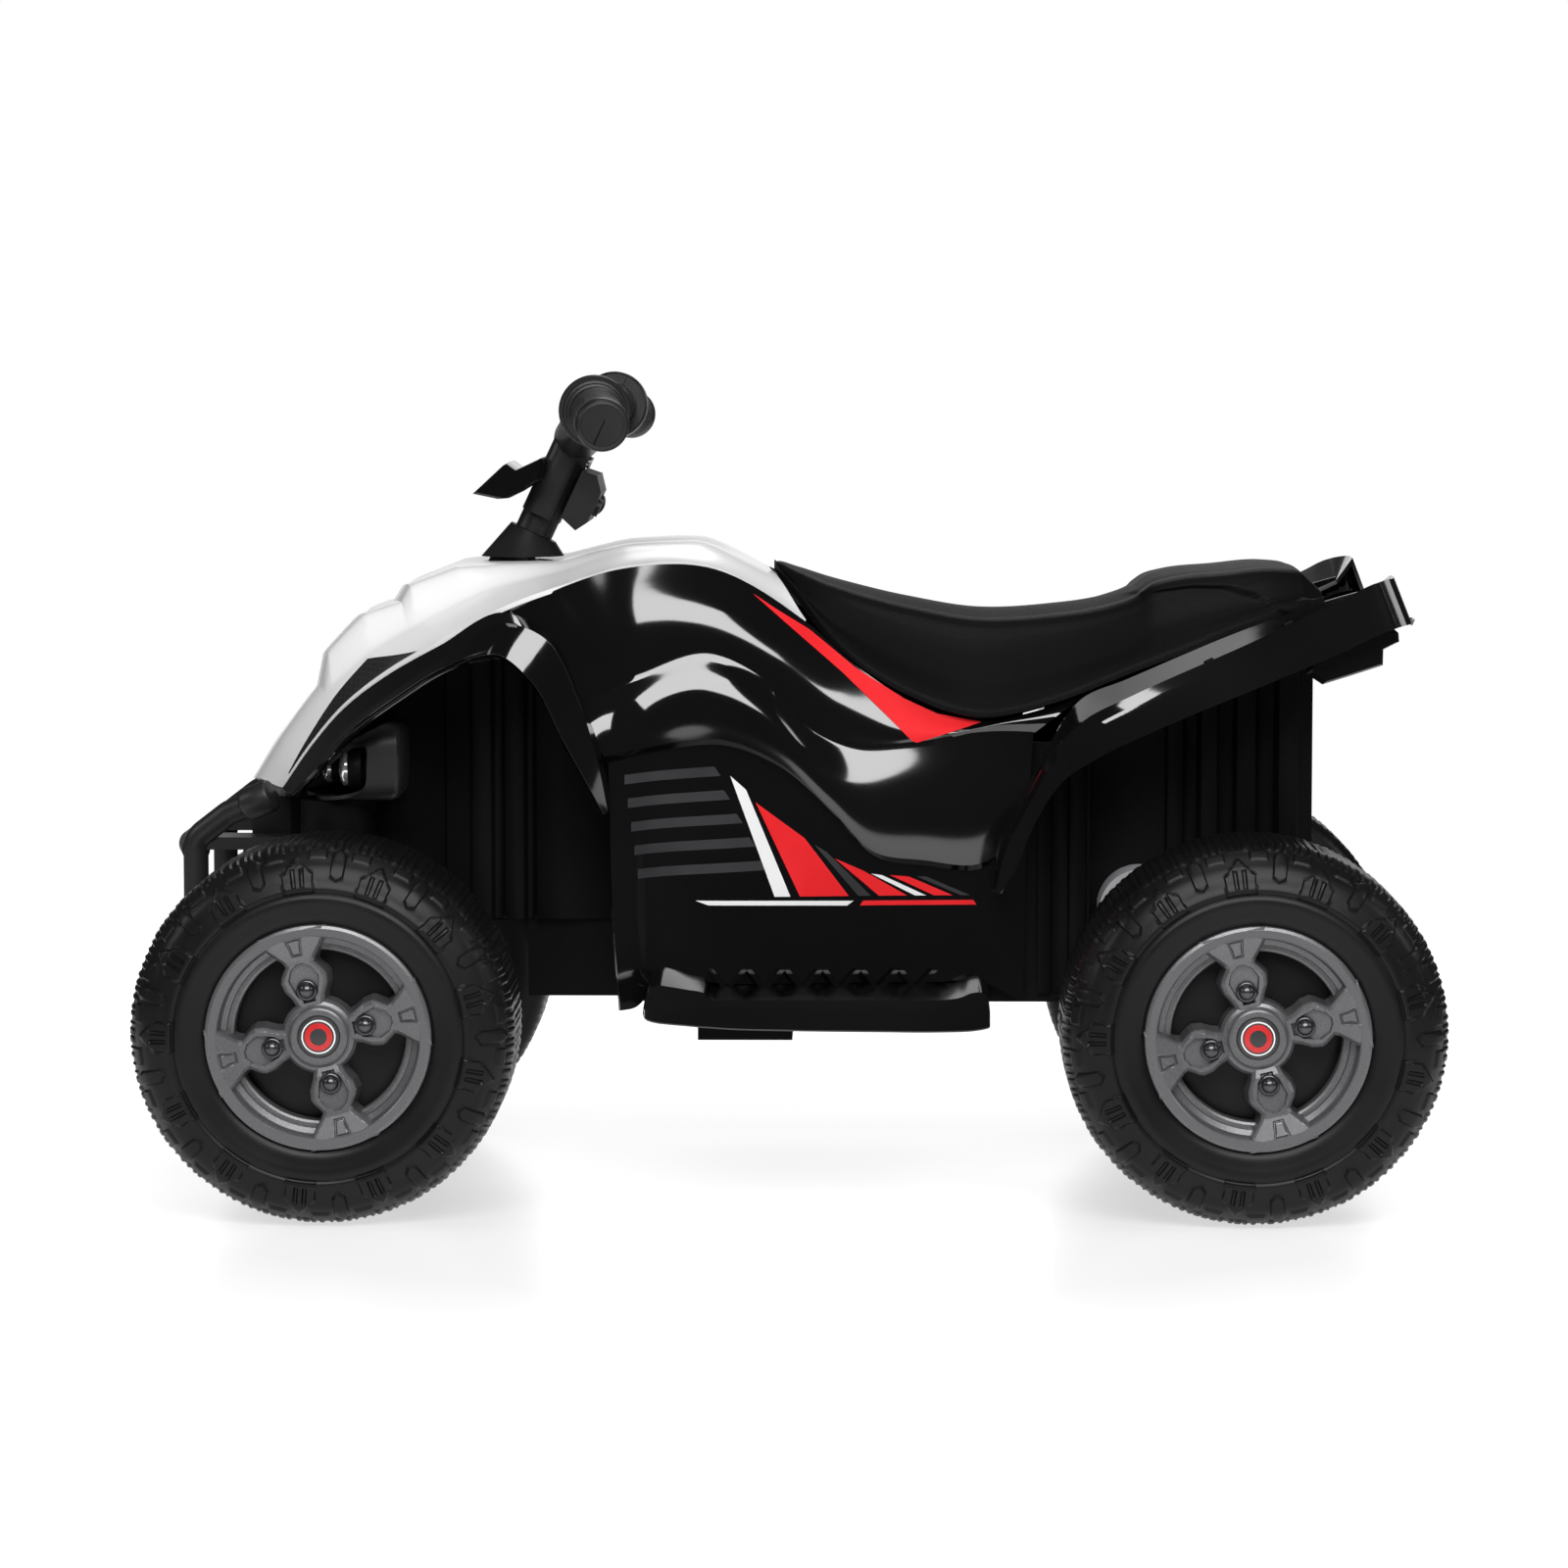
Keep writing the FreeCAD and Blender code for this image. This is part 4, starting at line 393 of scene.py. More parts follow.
# Printed trim on the body sides. Vinyl film a third of a millimetre thick: a red flash along the seat line,
# and slanted bars in red, white and grey over the engine panel. It is stuck on and follows the moulding.
FILM = 0.35 * MM
film_red = finish("red_film", (0.73, 0.02, 0.024), 0.5, Specular_IOR_Level=0.06)
mottle(film_red, 25.0, Base_Color=((0.69, 0.017, 0.021), (0.76, 0.023, 0.028)))
film_white = finish("white_film", (0.78, 0.78, 0.78), 0.3, Specular_IOR_Level=0.3)
mottle(film_white, 25.0, Base_Color=((0.74, 0.74, 0.75), (0.8, 0.8, 0.8)))
film_grey = finish("grey_film", (0.03, 0.03, 0.032), 0.3, Specular_IOR_Level=0.3)
mottle(film_grey, 25.0, Base_Color=((0.024, 0.024, 0.026), (0.036, 0.036, 0.038)))


def on_side(x, z):
    """Places on the left body side at given X and Z: every row of its sheet is read at X, then the two rows
    above and below Z are joined by a straight line."""
    flat_x, flat_z = x.ravel(), z.ravel()
    heights = np.stack([np.interp(flat_x, row[::-1, 0], row[::-1, 2]) for row in side_grid])
    outs = np.stack([np.interp(flat_x, row[::-1, 0], row[::-1, 1]) for row in side_grid])
    above = np.clip((heights > flat_z).sum(0) - 1, 0, len(side_grid) - 2)
    pick = np.arange(len(flat_x))
    share = (heights[above, pick] - flat_z) / (heights[above, pick] - heights[above + 1, pick])
    y = outs[above, pick] + share * (outs[above + 1, pick] - outs[above, pick])
    return np.stack([flat_x, y + FILM, flat_z], -1).reshape(x.shape + (3,))


def film_patch(upper, lower, along=60, across=10):
    """Film between an upper and a lower edge, each a line of X and Z points, laid on the side."""
    def edge(points):
        points = np.array(points, float)
        run = np.concatenate([[0], np.cumsum(np.linalg.norm(np.diff(points, axis=0), axis=1))])
        at = np.linspace(0, run[-1], along)
        return np.stack([np.interp(at, run, points[:, k]) for k in (0, 1)], -1)
    top, low = edge(upper), edge(lower)
    share = np.linspace(0, 1, across)[:, None, None]
    flat = (top + (low - top) * share) * MM
    return on_side(flat[..., 0], flat[..., 1])


RED, WHITE, GREY = (film_red, "button_red"), (film_white, "gloss_white"), (film_grey, "case_grey")
BAR_LEAN = 28
BAR_FOOT = 193


def bar(x, wide, high):
    """Edges of a slanted bar of film: it starts at x below the band and leans back on its way down."""
    foot = x - BAR_LEAN
    return [(x, high[0]), (x - wide, high[1])], [(foot, BAR_FOOT), (foot - wide, BAR_FOOT)]


def fin(k, end):
    """Edges of one of the fins of film, counted from the top, from its front to its slanted end."""
    front, z = 104 - 2 * k, 272 - 15 * k
    return [(front, z), (end, z + 4)], [(front, z - 6), (end - 4, z - 2)]


FILM_PATCHES = {
    "stripe_1": (*WHITE, *bar(38, 10, (270, 261))),
    "stripe_2": (*RED, *bar(22, 31, (253, 230))),
    "stripe_3": (*GREY, *bar(-15, 8, (226, 221))),
    "stripe_4": (*RED, *bar(-28, 18, (217, 209))),
    "stripe_5": (*WHITE, *bar(-51, 7, (207, 206))),
    "stripe_6": (*RED, *bar(-63, 12, (206, 205))),
    "stripe_7": (*GREY, *bar(-80, 6, (205, 205))),
    "underline": (*WHITE, [(60, 191), (-40, 190)], [(52, 188), (-36, 187)]),
    "underline_end": (*RED, [(-46, 190), (-116, 190)], [(-44, 187), (-118, 187)]),
    "fin_1": (*GREY, *fin(0, 48)),
    "fin_2": (*GREY, *fin(1, 42)),
    "fin_3": (*GREY, *fin(2, 34)),
    "fin_4": (*GREY, *fin(3, 26)),
    "fin_5": (*GREY, *fin(4, 18)),
    "seat_flash": (*RED,
                   [(24, 384), (9, 374), (-12, 361), (-41, 337), (-72, 317.5), (-93, 308), (-121, 303)],
                   [(23, 383), (6, 368), (-33, 334), (-62, 306), (-77, 291), (-80, 290)]),
}
for name, (material, slot, upper, lower) in FILM_PATCHES.items():
    for side, flip in SIDES:
        film = surface(name + "_" + side, flip(film_patch(upper, lower)))
        fit(film, material, slot, "chassis")

# Rear fenders and tail panel. Glossy black strips that climb in front of the tyres and rise to the tail tips.
# They rest on the tail box's posts, and the panel closes the gap between the tips.
WING_TOP = np.array([(-126.5, 202), (-132.5, 233), (-146.5, 259), (-161.5, 286), (-184.5, 310), (-211.5, 324),
                     (-287.5, 358.5), (-347.5, 387.3), (-362, 394.3)], float)
WING_LOW = np.array([(-131.5, 202), (-140.5, 216), (-151.5, 243), (-171.5, 273), (-191.5, 286), (-233.5, 306),
                     (-288.5, 329), (-343.5, 352.5), (-373, 366)], float)
INNER_Y = np.array([111.2] * 5 + [104] + [96] * 3)
WING_LIFT = np.array([-2.5, -2.5, -2.5, 0, 9, 6, 3, -5, -8])
WING_DROP = np.array([3, 3, 3, 3, 5, 9, 11, 11, 11])
TAIL_TURN = np.array([(-2, -0.5, 0.6), (-3.5, -1.4, 1.1), (-10.5, -6.7, 2.7), (-12.4, -9.6, 3),
                      (-13.4, -15, 3.2), (-14, -45, 3.2)])
WING_DECK_Y = np.array([167] * 5 + [169.8, 171.5, 171.5, 171.5])
WING_BROW_Y = np.array([173] * 5 + [172.6, 172.4, 172.4, 172.4])


def wing_sheet():
    """Left rear fender: an upstand to the seat's hem, deck edge, brow, lower edge of the side face and its
    return. The brow is rounded in front and flat behind, and at the tail the outer lines turn in."""
    def row(line, y, lift=0.0):
        line = np.stack([line[:, 0], np.broadcast_to(y, len(line)), line[:, 1] + lift], -1)
        return np.concatenate([line, line[-1] + TAIL_TURN * (line[-1, 1] > INNER_Y.max())])
    brow = WING_TOP * 0.73 + WING_LOW * 0.27
    under = WING_LOW * 0.96 + WING_TOP * 0.04
    rows = [row(WING_TOP, INNER_Y, WING_LIFT), row(WING_TOP, INNER_Y, -WING_DROP), row(WING_TOP, WING_DECK_Y),
            row(brow, WING_BROW_Y), row(WING_LOW, 175), row(under, 168)]
    return skin(rows, (1, 2, 3, 4), 10, 6) * MM


panel_pair("rear_fender", wing_sheet(), 32.0)


def across(outline, ys, grow):
    """Closed block: an outline of X and Z points carried through places along Y, drawn in to a share of its
    size at each place; a share of 0 closes an end."""
    outline, ys, grow = (np.asarray(values, float) for values in (outline, ys, grow))
    outline = np.concatenate([outline, outline[:1]])
    middle = outline[:-1].mean(0)
    xz = middle + (outline - middle) * grow[:, None, None]
    return np.stack([xz[..., 0], ys[:, None] + 0 * xz[..., 0], xz[..., 1]], -1) * MM


TAIL_OUTLINE = [(-322, 337), (-331.5, 330.8), (-350, 336.6), (-369, 342.8), (-369.2, 352.5), (-379, 357.5),
                (-378.5, 363), (-374, 367), (-371, 370.5), (-345, 359), (-322, 349)]
tail_block = across(TAIL_OUTLINE, [-158, -158, -156, 156, 158, 158], [0, 0.9, 1, 1, 0.9, 0])
tail = surface("tail_panel_skin", tail_block, crisp=25.0)
fit(tail, gloss_black, "gloss_black", "chassis", "tail_panel")

# Ribs of the chassis tub. The walls of the pillar and the tail box have upright ribs, seen in the wheel bays.
# They are moulded in one with the walls, and the tail ones carry the rear fenders' decks.
PILLAR_RIBS = [
    (252, 70.6), (222, 70.6), (221, 73.5), (206, 73.5), (204, 77), (192, 77), (190, 72.5), (185, 72.5),
    (183, 78), (171, 78), (169, 72.5), (165, 72.5), (163, 77.5), (146, 77.5), (112, 73)]
PILLAR_LOW = [(112, 174.5), (252, 174.5)]
PILLAR_HIGH = [(112, 336), (165, 342), (200, 340), (252, 322)]
TAIL_RIBS = [
    (-157, 101), (-165, 101), (-166, 98), (-176, 98), (-177, 101), (-187, 101), (-190, 90.5), (-238, 90.5),
    (-239, 96), (-249, 96), (-250, 89.5), (-258, 89.5), (-260, 103), (-270, 103), (-272, 89.5), (-281, 89.5),
    (-283, 97), (-295, 97), (-297, 89.5), (-307, 89.5), (-309, 103), (-321, 103), (-323, 96), (-331, 94)]
TAIL_LOW = [(-331, 192), (-260, 192), (-250, 216), (-192, 216), (-190, 130), (-157, 130)]
TAIL_HIGH = [(-347.5, 372), (-287.5, 344), (-211.5, 309), (-184.5, 295), (-161.5, 270), (-146.5, 242)]


def rib_sheet(line, low, high):
    """A ribbed wall: a line of X and Y points with small bends, between two edges of X and Z points."""
    line = np.array(line, float)
    run = np.concatenate([[0], np.cumsum(np.linalg.norm(np.diff(line, axis=0), axis=1))])
    at = np.unique(np.concatenate([run[:-1] + 0.5, run[1:] - 0.5, run[:1], run[-1:]]))
    x, y = (np.interp(at, run, line[:, k])[None] for k in (0, 1))
    share = np.linspace(0, 1, 5)[:, None]
    bottom, top = (np.interp(x, *np.transpose(edge)) for edge in (low, high))
    z = top + (bottom - top) * share
    return np.stack([x + 0 * share, y + 0 * share, z], -1) * MM


for name, line, low, high in (("pillar_ribs", PILLAR_RIBS, PILLAR_LOW, PILLAR_HIGH),
                              ("tail_ribs", TAIL_RIBS, TAIL_LOW, TAIL_HIGH)):
    for side, flip in SIDES:
        ribs = surface(name + "_" + side, flip(rib_sheet(line, low, high)), crisp=50.0)
        fit(moulded(ribs, 1.2 * MM, 0.4 * MM), grained_black, "matte_black", "chassis")

# Seat. A firm saddle moulded in one piece, with a grained vinyl skin and a raised back step.
# It sits on the rests of the tail box and laps the body sides.
vinyl = finish("grained_vinyl", (0.004, 0.004, 0.0045), 0.5, Specular_IOR_Level=0.04)
pores = grain(vinyl, "ShaderNodeTexVoronoi", 900.0)
mottle(vinyl, 5.0, Base_Color=((0.0035, 0.0035, 0.004), (0.0055, 0.0055, 0.006)))
vary(vinyl, "Roughness", pores.outputs["Distance"], 0.4, 0.5)
emboss(vinyl, pores.outputs["Distance"], 0.18, 0.0004)

SEAT_STATIONS = np.array([
    (12.0, 400, 395, 10, 7), (10.5, 400.5, 393, 16, 11), (-3.5, 397, 377, 50, 36), (-29.5, 389, 347, 82, 55),
    (-75.5, 378, 318, 98, 63), (-120.5, 371, 305, 105, 67), (-165.5, 373, 314, 108, 72),
    (-205.5, 379.5, 329, 106, 77), (-220.5, 385, 335, 105.5, 79), (-231.5, 392.5, 339, 105, 80),
    (-242.5, 395.5, 343, 104, 80), (-275.5, 398.5, 356, 98, 78), (-309.5, 400.5, 367, 89, 73),
    (-324.5, 398, 370.5, 84, 68), (-334, 390, 373, 78, 62), (-339.5, 384, 375, 74, 58)])
HUMP = np.array([(-330, 368), (-314, 371), (-294, 382), (-277, 387), (-255, 387.5), (-236, 385), (-215, 381),
                 (-205, 379)], float)
HUMP_FRONT, HUMP_BACK = -207, -328


def seat_sheet():
    """Seat skin: a closed section carried along X. From the middle of the flat underside the section goes out
    to the hem, up the drawn-in side to the shoulder, and over the crowned top; cubic runs join the stations.
    Above the hump line the back pad stands out by a small step."""
    x, top, low, wide, narrow = through(SEAT_STATIONS, 10).T
    tall = top - low
    shoulder = top - tall * 0.22
    waist = (wide + narrow) / 2 - tall * 0.05
    half = [(0 * x, low), (wide - 6, low), (wide, low + 1.5), (wide - 0.6, low + 5),
            (waist, (low + shoulder) / 2), (narrow + 1, shoulder - tall * 0.05),
            (narrow - 2, shoulder + tall * 0.07), (narrow * 0.6, top - tall * 0.07), (0 * x, top)]
    right = np.stack([np.stack([x, y, z], -1) for y, z in half])
    left = right[-2::-1] * (1, -1, 1)
    ring = np.concatenate([right, left])
    section = np.concatenate([ring[:2], through(ring[2:-2], 14), ring[-2:]])
    over_hump = step(section[..., 2] - np.interp(x, HUMP[:, 0], HUMP[:, 1]), 1.3)
    beside = step(np.abs(section[..., 1]) - 30, 30) * step(HUMP_FRONT - x, 8) * step(x - HUMP_BACK, 8)
    section += (over_hump * beside)[..., None] * np.sign(section[..., 1:2]) * (0, 2.0, 0)
    section += (over_hump * beside)[..., None] * (0, 0, 1.0)
    middle = section.mean(0)
    ends = np.repeat(middle[None, [0, -1]], len(section), 0)
    return np.concatenate([ends[:, :1], section, ends[:, 1:]], 1) * MM


saddle = surface("seat_skin", seat_sheet()[::-1], crisp=60.0)
fit(saddle, vinyl, "seat_vinyl", "chassis", "seat")

# Footboards, pedal and its switch. Black plastic steps with turned-up ends and slanted cleats.
# They hook on the tub and are screwed from below. The pedal turns on two stub pins in ears on the right one.
BOARD_STATIONS = np.array([
    (90, 133, 131, 130), (89, 141, 137, 127), (86, 148, 143, 125), (81, 151, 146, 123.8),
    (74, 150, 145.4, 123), (62, 146, 143.6, 122), (54, 144, 142.4, 121.2), (52.4, 143.4, 141.8, 121.1),
    (50, 138.4, 138.2, 121), (42, 138, 138, 120.4), (0, 138, 138, 119.2), (-60, 138, 138, 118.6),
    (-84, 138.2, 138, 118.4), (-98, 140, 138.4, 118.6), (-106, 142.5, 139.5, 118.8), (-113, 145.5, 142, 119.2),
    (-119, 146, 142.5, 120), (-122.5, 143, 140, 120.8), (-124.5, 134, 132, 122)], float)
BOARD_IN, BOARD_OUT, BOARD_TOP = 97.4, 204, 138


def board_sheet():
    """Left footboard: a closed section along X, from the tub out over the step, down a chamfer and an outer
    face that leans out towards the bottom, and back underneath."""
    x, inner, outer, low = through(BOARD_STATIONS, 8).T
    flat, brim = np.minimum(inner, BOARD_TOP), np.minimum(outer - 1.5, 132.5)
    half = [(BOARD_IN, low), (BOARD_IN, flat), (134, flat), (140, inner), (162, inner),
            (BOARD_OUT - 0.77 * (outer - brim), outer), (BOARD_OUT, brim), (205.4, low + 1), (204.4, low),
            (BOARD_IN, low)]
    section = np.stack([np.stack([x, 0 * x + y, z], -1) for y, z in half])
    middle = np.repeat(section.mean(0)[None, [0, -1]], len(section), 0)
    return np.concatenate([middle[:, :1], section, middle[:, 1:]], 1) * MM


def slab(corners, y0, y1):
    """Block between two Y planes: four X and Z corners in order, closed at both ends."""
    ring = np.array([*corners, corners[0]], float)
    centre = ring[:4].mean(0)
    lines = [(centre + 0 * ring, y0), (ring, y0), (ring, y1), (centre + 0 * ring, y1)]
    return np.stack([np.stack([r[:, 0], 0 * r[:, 0] + y, r[:, 1]], -1) for r, y in lines]) * MM


CLEATS = 12
CLEAT_PITCH = 12
CLEAT_LOW, CLEAT_HIGH = 137.5, 148.5


def cleat(k):
    """One of the slanted cleats beside the body: a leaning bar, every other one leaning the other way."""
    x, lean = 44 - CLEAT_PITCH * k, 4.5 * (-1) ** k
    foot = [(x - lean, CLEAT_LOW), (x + 4 - lean, CLEAT_LOW)]
    return slab([*foot, (x + 3 + lean, CLEAT_HIGH), (x - 0.5 + lean, CLEAT_HIGH)], 122, 133)


cleats = [cleat(k) for k in range(CLEATS)]
EARS = [(-187.3, -182.3), (-137.7, -132.7)]
EAR_WALLS = [(0, 3.2, 137.5, 149), (8.8, 12, 137.5, 149), (3, 9, 137.5, 141.2), (3, 9, 146.8, 149)]
ears = [slab([(x0, z0), (x1, z0), (x1, z1), (x0, z1)], y0, y1)
        for x0, x1, z0, z1 in EAR_WALLS for y0, y1 in EARS]
for (side, flip), extra in zip(SIDES, ([], ears)):
    sheets = [flip(sheet) for sheet in (board_sheet(), *cleats)]
    board = surface("footboard_skin_" + side, *sheets, *extra, crisp=20.0)
    fit(board, gloss_black, "gloss_black", "chassis", "footboard_" + side)
dress(gloss_black, "pedal")
dress(grained_black, "pedal_switch")
dress(plated, "body_screws")

# Front guard and headlamps. A bent guard of black plastic tube on the pillar's front wall.
# Two round lamps sit in an open cup on each steering tower.
grip_black = finish("grip_plastic", (0.012, 0.012, 0.0125), 0.45, Specular_IOR_Level=0.35)
mottle(grip_black, 20.0, Base_Color=((0.010, 0.010, 0.0105), (0.015, 0.015, 0.0155)), Roughness=(0.36, 0.46))
stipple(grip_black, 900.0, 0.2, 0.0003)
dress(grip_black, "front_bumper")
lamp = finish("clear_lamp", (0.75, 0.76, 0.78), 0.1, Metallic=0.8)
flutes = grain(lamp, "ShaderNodeTexNoise", 60.0)
vary(lamp, "Base Color", flutes.outputs["Fac"], (0.6, 0.61, 0.63), (0.85, 0.86, 0.88))
emboss(lamp, flutes.outputs["Fac"], 0.05, 0.0008)
dress(lamp, "headlamp_lenses")

CUP_BACK, CUP_LOW = 243.5, 254.6
CUP_Y, CUP_HALF = 105, 34
CUP_SQUARE = 0.45


def cup_sheet():
    """Left headlamp cup: rounded sections about a line along X, each a circle with its sine and cosine to the
    power 0.45. The back is closed and rounded, and the mouth is slanted and cut back on the outer side."""
    turn = np.linspace(0, 2 * np.pi, 97)[None]
    c, s = np.cos(turn), np.sin(turn)
    mouth = np.interp(c, [-1, -0.3, 0.5, 1], [311, 309, 288, 266]) - 6 * np.maximum(s, 0)
    grow = np.concatenate([[0, 0.5, 0.8, 0.93], np.ones(12)])[:, None]
    along = np.concatenate([[0, 0, 0.02, 0.07], np.linspace(0.16, 1, 12)])[:, None]
    x = CUP_BACK + along * (mouth - CUP_BACK)
    high = np.interp(x, [243, 258, 277, 295, 312], [304, 302, 292, 276, 263])
    y = CUP_Y + CUP_HALF * grow * np.sign(c) * np.abs(c) ** CUP_SQUARE
    z = (high + CUP_LOW) / 2 + (high - CUP_LOW) / 2 * grow * np.sign(s) * np.abs(s) ** CUP_SQUARE
    return np.stack([x, y, z], -1) * MM


for side, flip in SIDES:
    cup = surface("headlamp_cup_" + side, flip(cup_sheet()[::-1]), crisp=50.0)
    fit(moulded(cup, 2.4 * MM, EDGE_ROUND), grip_black, "matte_black", "chassis", "headlamp_housing_" + side)


def along_axis(profile, start, end, sides=72):
    """A line of radius and distance points, turned about the axis from start to end."""
    profile, start, end = (np.asarray(values, float) for values in (profile, start, end))
    way = (end - start) / np.linalg.norm(end - start)
    first = np.cross(way, (0, 1, 0) if abs(way[1]) < 0.9 else (1, 0, 0))
    first /= np.linalg.norm(first)
    second = np.cross(way, first)
    turn = np.linspace(0, 2 * np.pi, sides + 1)[None, :, None]
    r, d = profile[::-1, :1, None], profile[::-1, 1:, None]
    return start + d * way + r * (np.cos(turn) * first + np.sin(turn) * second)


def lamp_dome(r):
    """Profile of a lamp's clear dome: a short skirt, then a quarter of an ellipse 4.6 mm high."""
    turn = np.linspace(0, np.pi / 2, 14)
    crown = [(r * math.cos(t) + 0.05 * (t < 0.1), 8.6 + 4.6 * math.sin(t)) for t in turn]
    return [(r - 0.05, 6), (r - 0.05, 8.2), *crown]


SLEEVE = [(0, -1.2), (8.4, -1.2), (9.8, -0.6), (10.6, 0.8), (10.8, 17), (10.2, 18.6), (9.4, 19.4),
          (8.3, 19.6), (8.3, 12)]
SLEEVE_FROM, SLEEVE_TO = np.array([331.5, 90, 255]), np.array([359.5, 83, 243])
BEZEL = np.array([(0.1, -1.5), (1.7, -1.5), (1.9, 5.6), (1.5, 6.6), (0.6, 6.8), (0.1, 6.2), (0.1, -1.5)])
LAMPS = ((284.5, 100, 274, 10), (271.5, 124, 275.5, 11.5))
for side, hand in HANDS:
    sleeve = along_axis(SLEEVE, SLEEVE_FROM * (1, hand, 1), SLEEVE_TO * (1, hand, 1)) * MM
    fit(surface("guard_sleeve_" + side, sleeve, crisp=50.0), grip_black, "matte_black", "chassis")
for side, hand in HANDS:
    rings, domes = [], []
    for x, y, z, r in LAMPS:
        at, ahead = (x, hand * y, z), (x + 20, hand * y, z)
        rings.append(along_axis(BEZEL + (r, 0), at, ahead) * MM)
        domes.append(along_axis(lamp_dome(r), at, ahead) * MM)
    fit(surface("lamp_bezels_" + side, *rings), grained_black, "matte_black", "chassis")
    fit(surface("lamp_domes_" + side, *domes), lamp, "lamp_clear", "chassis")

# Handlebar, boot and dash. Two half shells of grained plastic, screwed together on the column, with stepped
# collars and beaded ends at the grips. A small shield stands ahead of the stem, and a pod with a button and a
# rocker behind it.
dress(plated, "handlebar_screws")
dress(grip_black, "column_boot", "handlebar_front", "handlebar_rear", "dash_pod", "direction_rocker",
      "power_button")
GRIP_RIBS = 8
GRIP_RIB = ((15.5, 0), (16.2, 0.5), (16.2, 2.6), (15.5, 3.1))
GRIP_PROFILE = [
    (21.4, -1.2), (22.4, -0.4), (22.6, 5.4), (21.9, 6.5), (20.2, 6.6), (19.6, 9), (18.2, 9.4), (17.7, 12),
    (16.4, 12.4), (15.9, 15.5), (15.6, 18),
    *[(r, 20 + 6 * k + d) for k in range(GRIP_RIBS) for r, d in GRIP_RIB],
    (15.6, 68), (16.2, 69), (16.6, 72), (16.6, 77), (16.1, 80), (14.9, 81.4), (13.2, 81.8), (12.9, 81.3),
    (0, 81.3)]
GRIP_FROM, GRIP_TO = np.array([122.5, 130, 500.4]), np.array([113.5, 210, 492.4])
SPLIT_AT, SPLIT_TALL, SPLIT_WIDE = 81.45, 12.6, 0.35
for side, hand in HANDS:
    start, end = GRIP_FROM * (1, hand, 1), GRIP_TO * (1, hand, 1)
    shape = along_axis(GRIP_PROFILE, start, end) * MM
    fit(surface("grip_" + side, shape, crisp=35.0), grip_black, "matte_black", "steering")
    way = (end - start) / np.linalg.norm(end - start)
    up = np.linspace(-SPLIT_TALL, SPLIT_TALL, 9)[:, None, None] * COLUMN_WAY
    beside = np.array([[-SPLIT_WIDE], [SPLIT_WIDE]]) * np.cross(COLUMN_WAY, way)
    split = (start + SPLIT_AT * way + up + beside) * MM
    fit(surface("grip_split_" + side, split), gloss_black, "gloss_black", "steering")
SHIELD_OUTLINE = [(207, 445), (190, 441.5), (183, 442), (174, 446.5), (161, 455), (159, 466.5), (161, 469),
                  (178, 461), (184, 465.5), (186.5, 464)]
shield_block = across(SHIELD_OUTLINE, [-44, -44, -42, 0, 42, 44, 44], [0, 0.86, 0.95, 1, 0.95, 0.86, 0])
shield = surface("shield_skin", shield_block, crisp=25.0)
fit(shield, gloss_black, "gloss_black", "steering", "windscreen")

# Wheels. Hollow tyres of hard black plastic with moulded blocks on the sidewall and cross ribs on the tread.
# Grey four-spoke covers are pressed into their faces, and plain caps close the hubs.
tyre_black = finish("tyre_plastic", (0.005, 0.005, 0.0055), 0.38, Specular_IOR_Level=0.2)
mottle(tyre_black, 18.0, Base_Color=((0.0045, 0.0045, 0.005), (0.0065, 0.0065, 0.007)),
       Roughness=(0.32, 0.42))
stipple(tyre_black, 1000.0, 0.15, 0.0003)

BLOCKS = 13
WALL_GROOVE, TREAD_EDGE = (89, 52.6), (118, 24)
TYRE_PROFILE = np.array([
    (7, 30), (30, 28.4), (52, 27), (57.5, 26.4), (60, 28), (66, 43), (69, 49.5), (72, 52), (78, 53.4),
    (88, 53.6), WALL_GROOVE, (90, 53.2), (96, 51.8), (102, 49.6), (107, 46.6), (110.5, 42.6), (114, 37),
    (116.6, 31), TREAD_EDGE, (118, 10), (118, -10), (118, -30), (118, -44), (115, -51), (110, -54), (90, -54),
    (64, -54), (64, -50)], float)


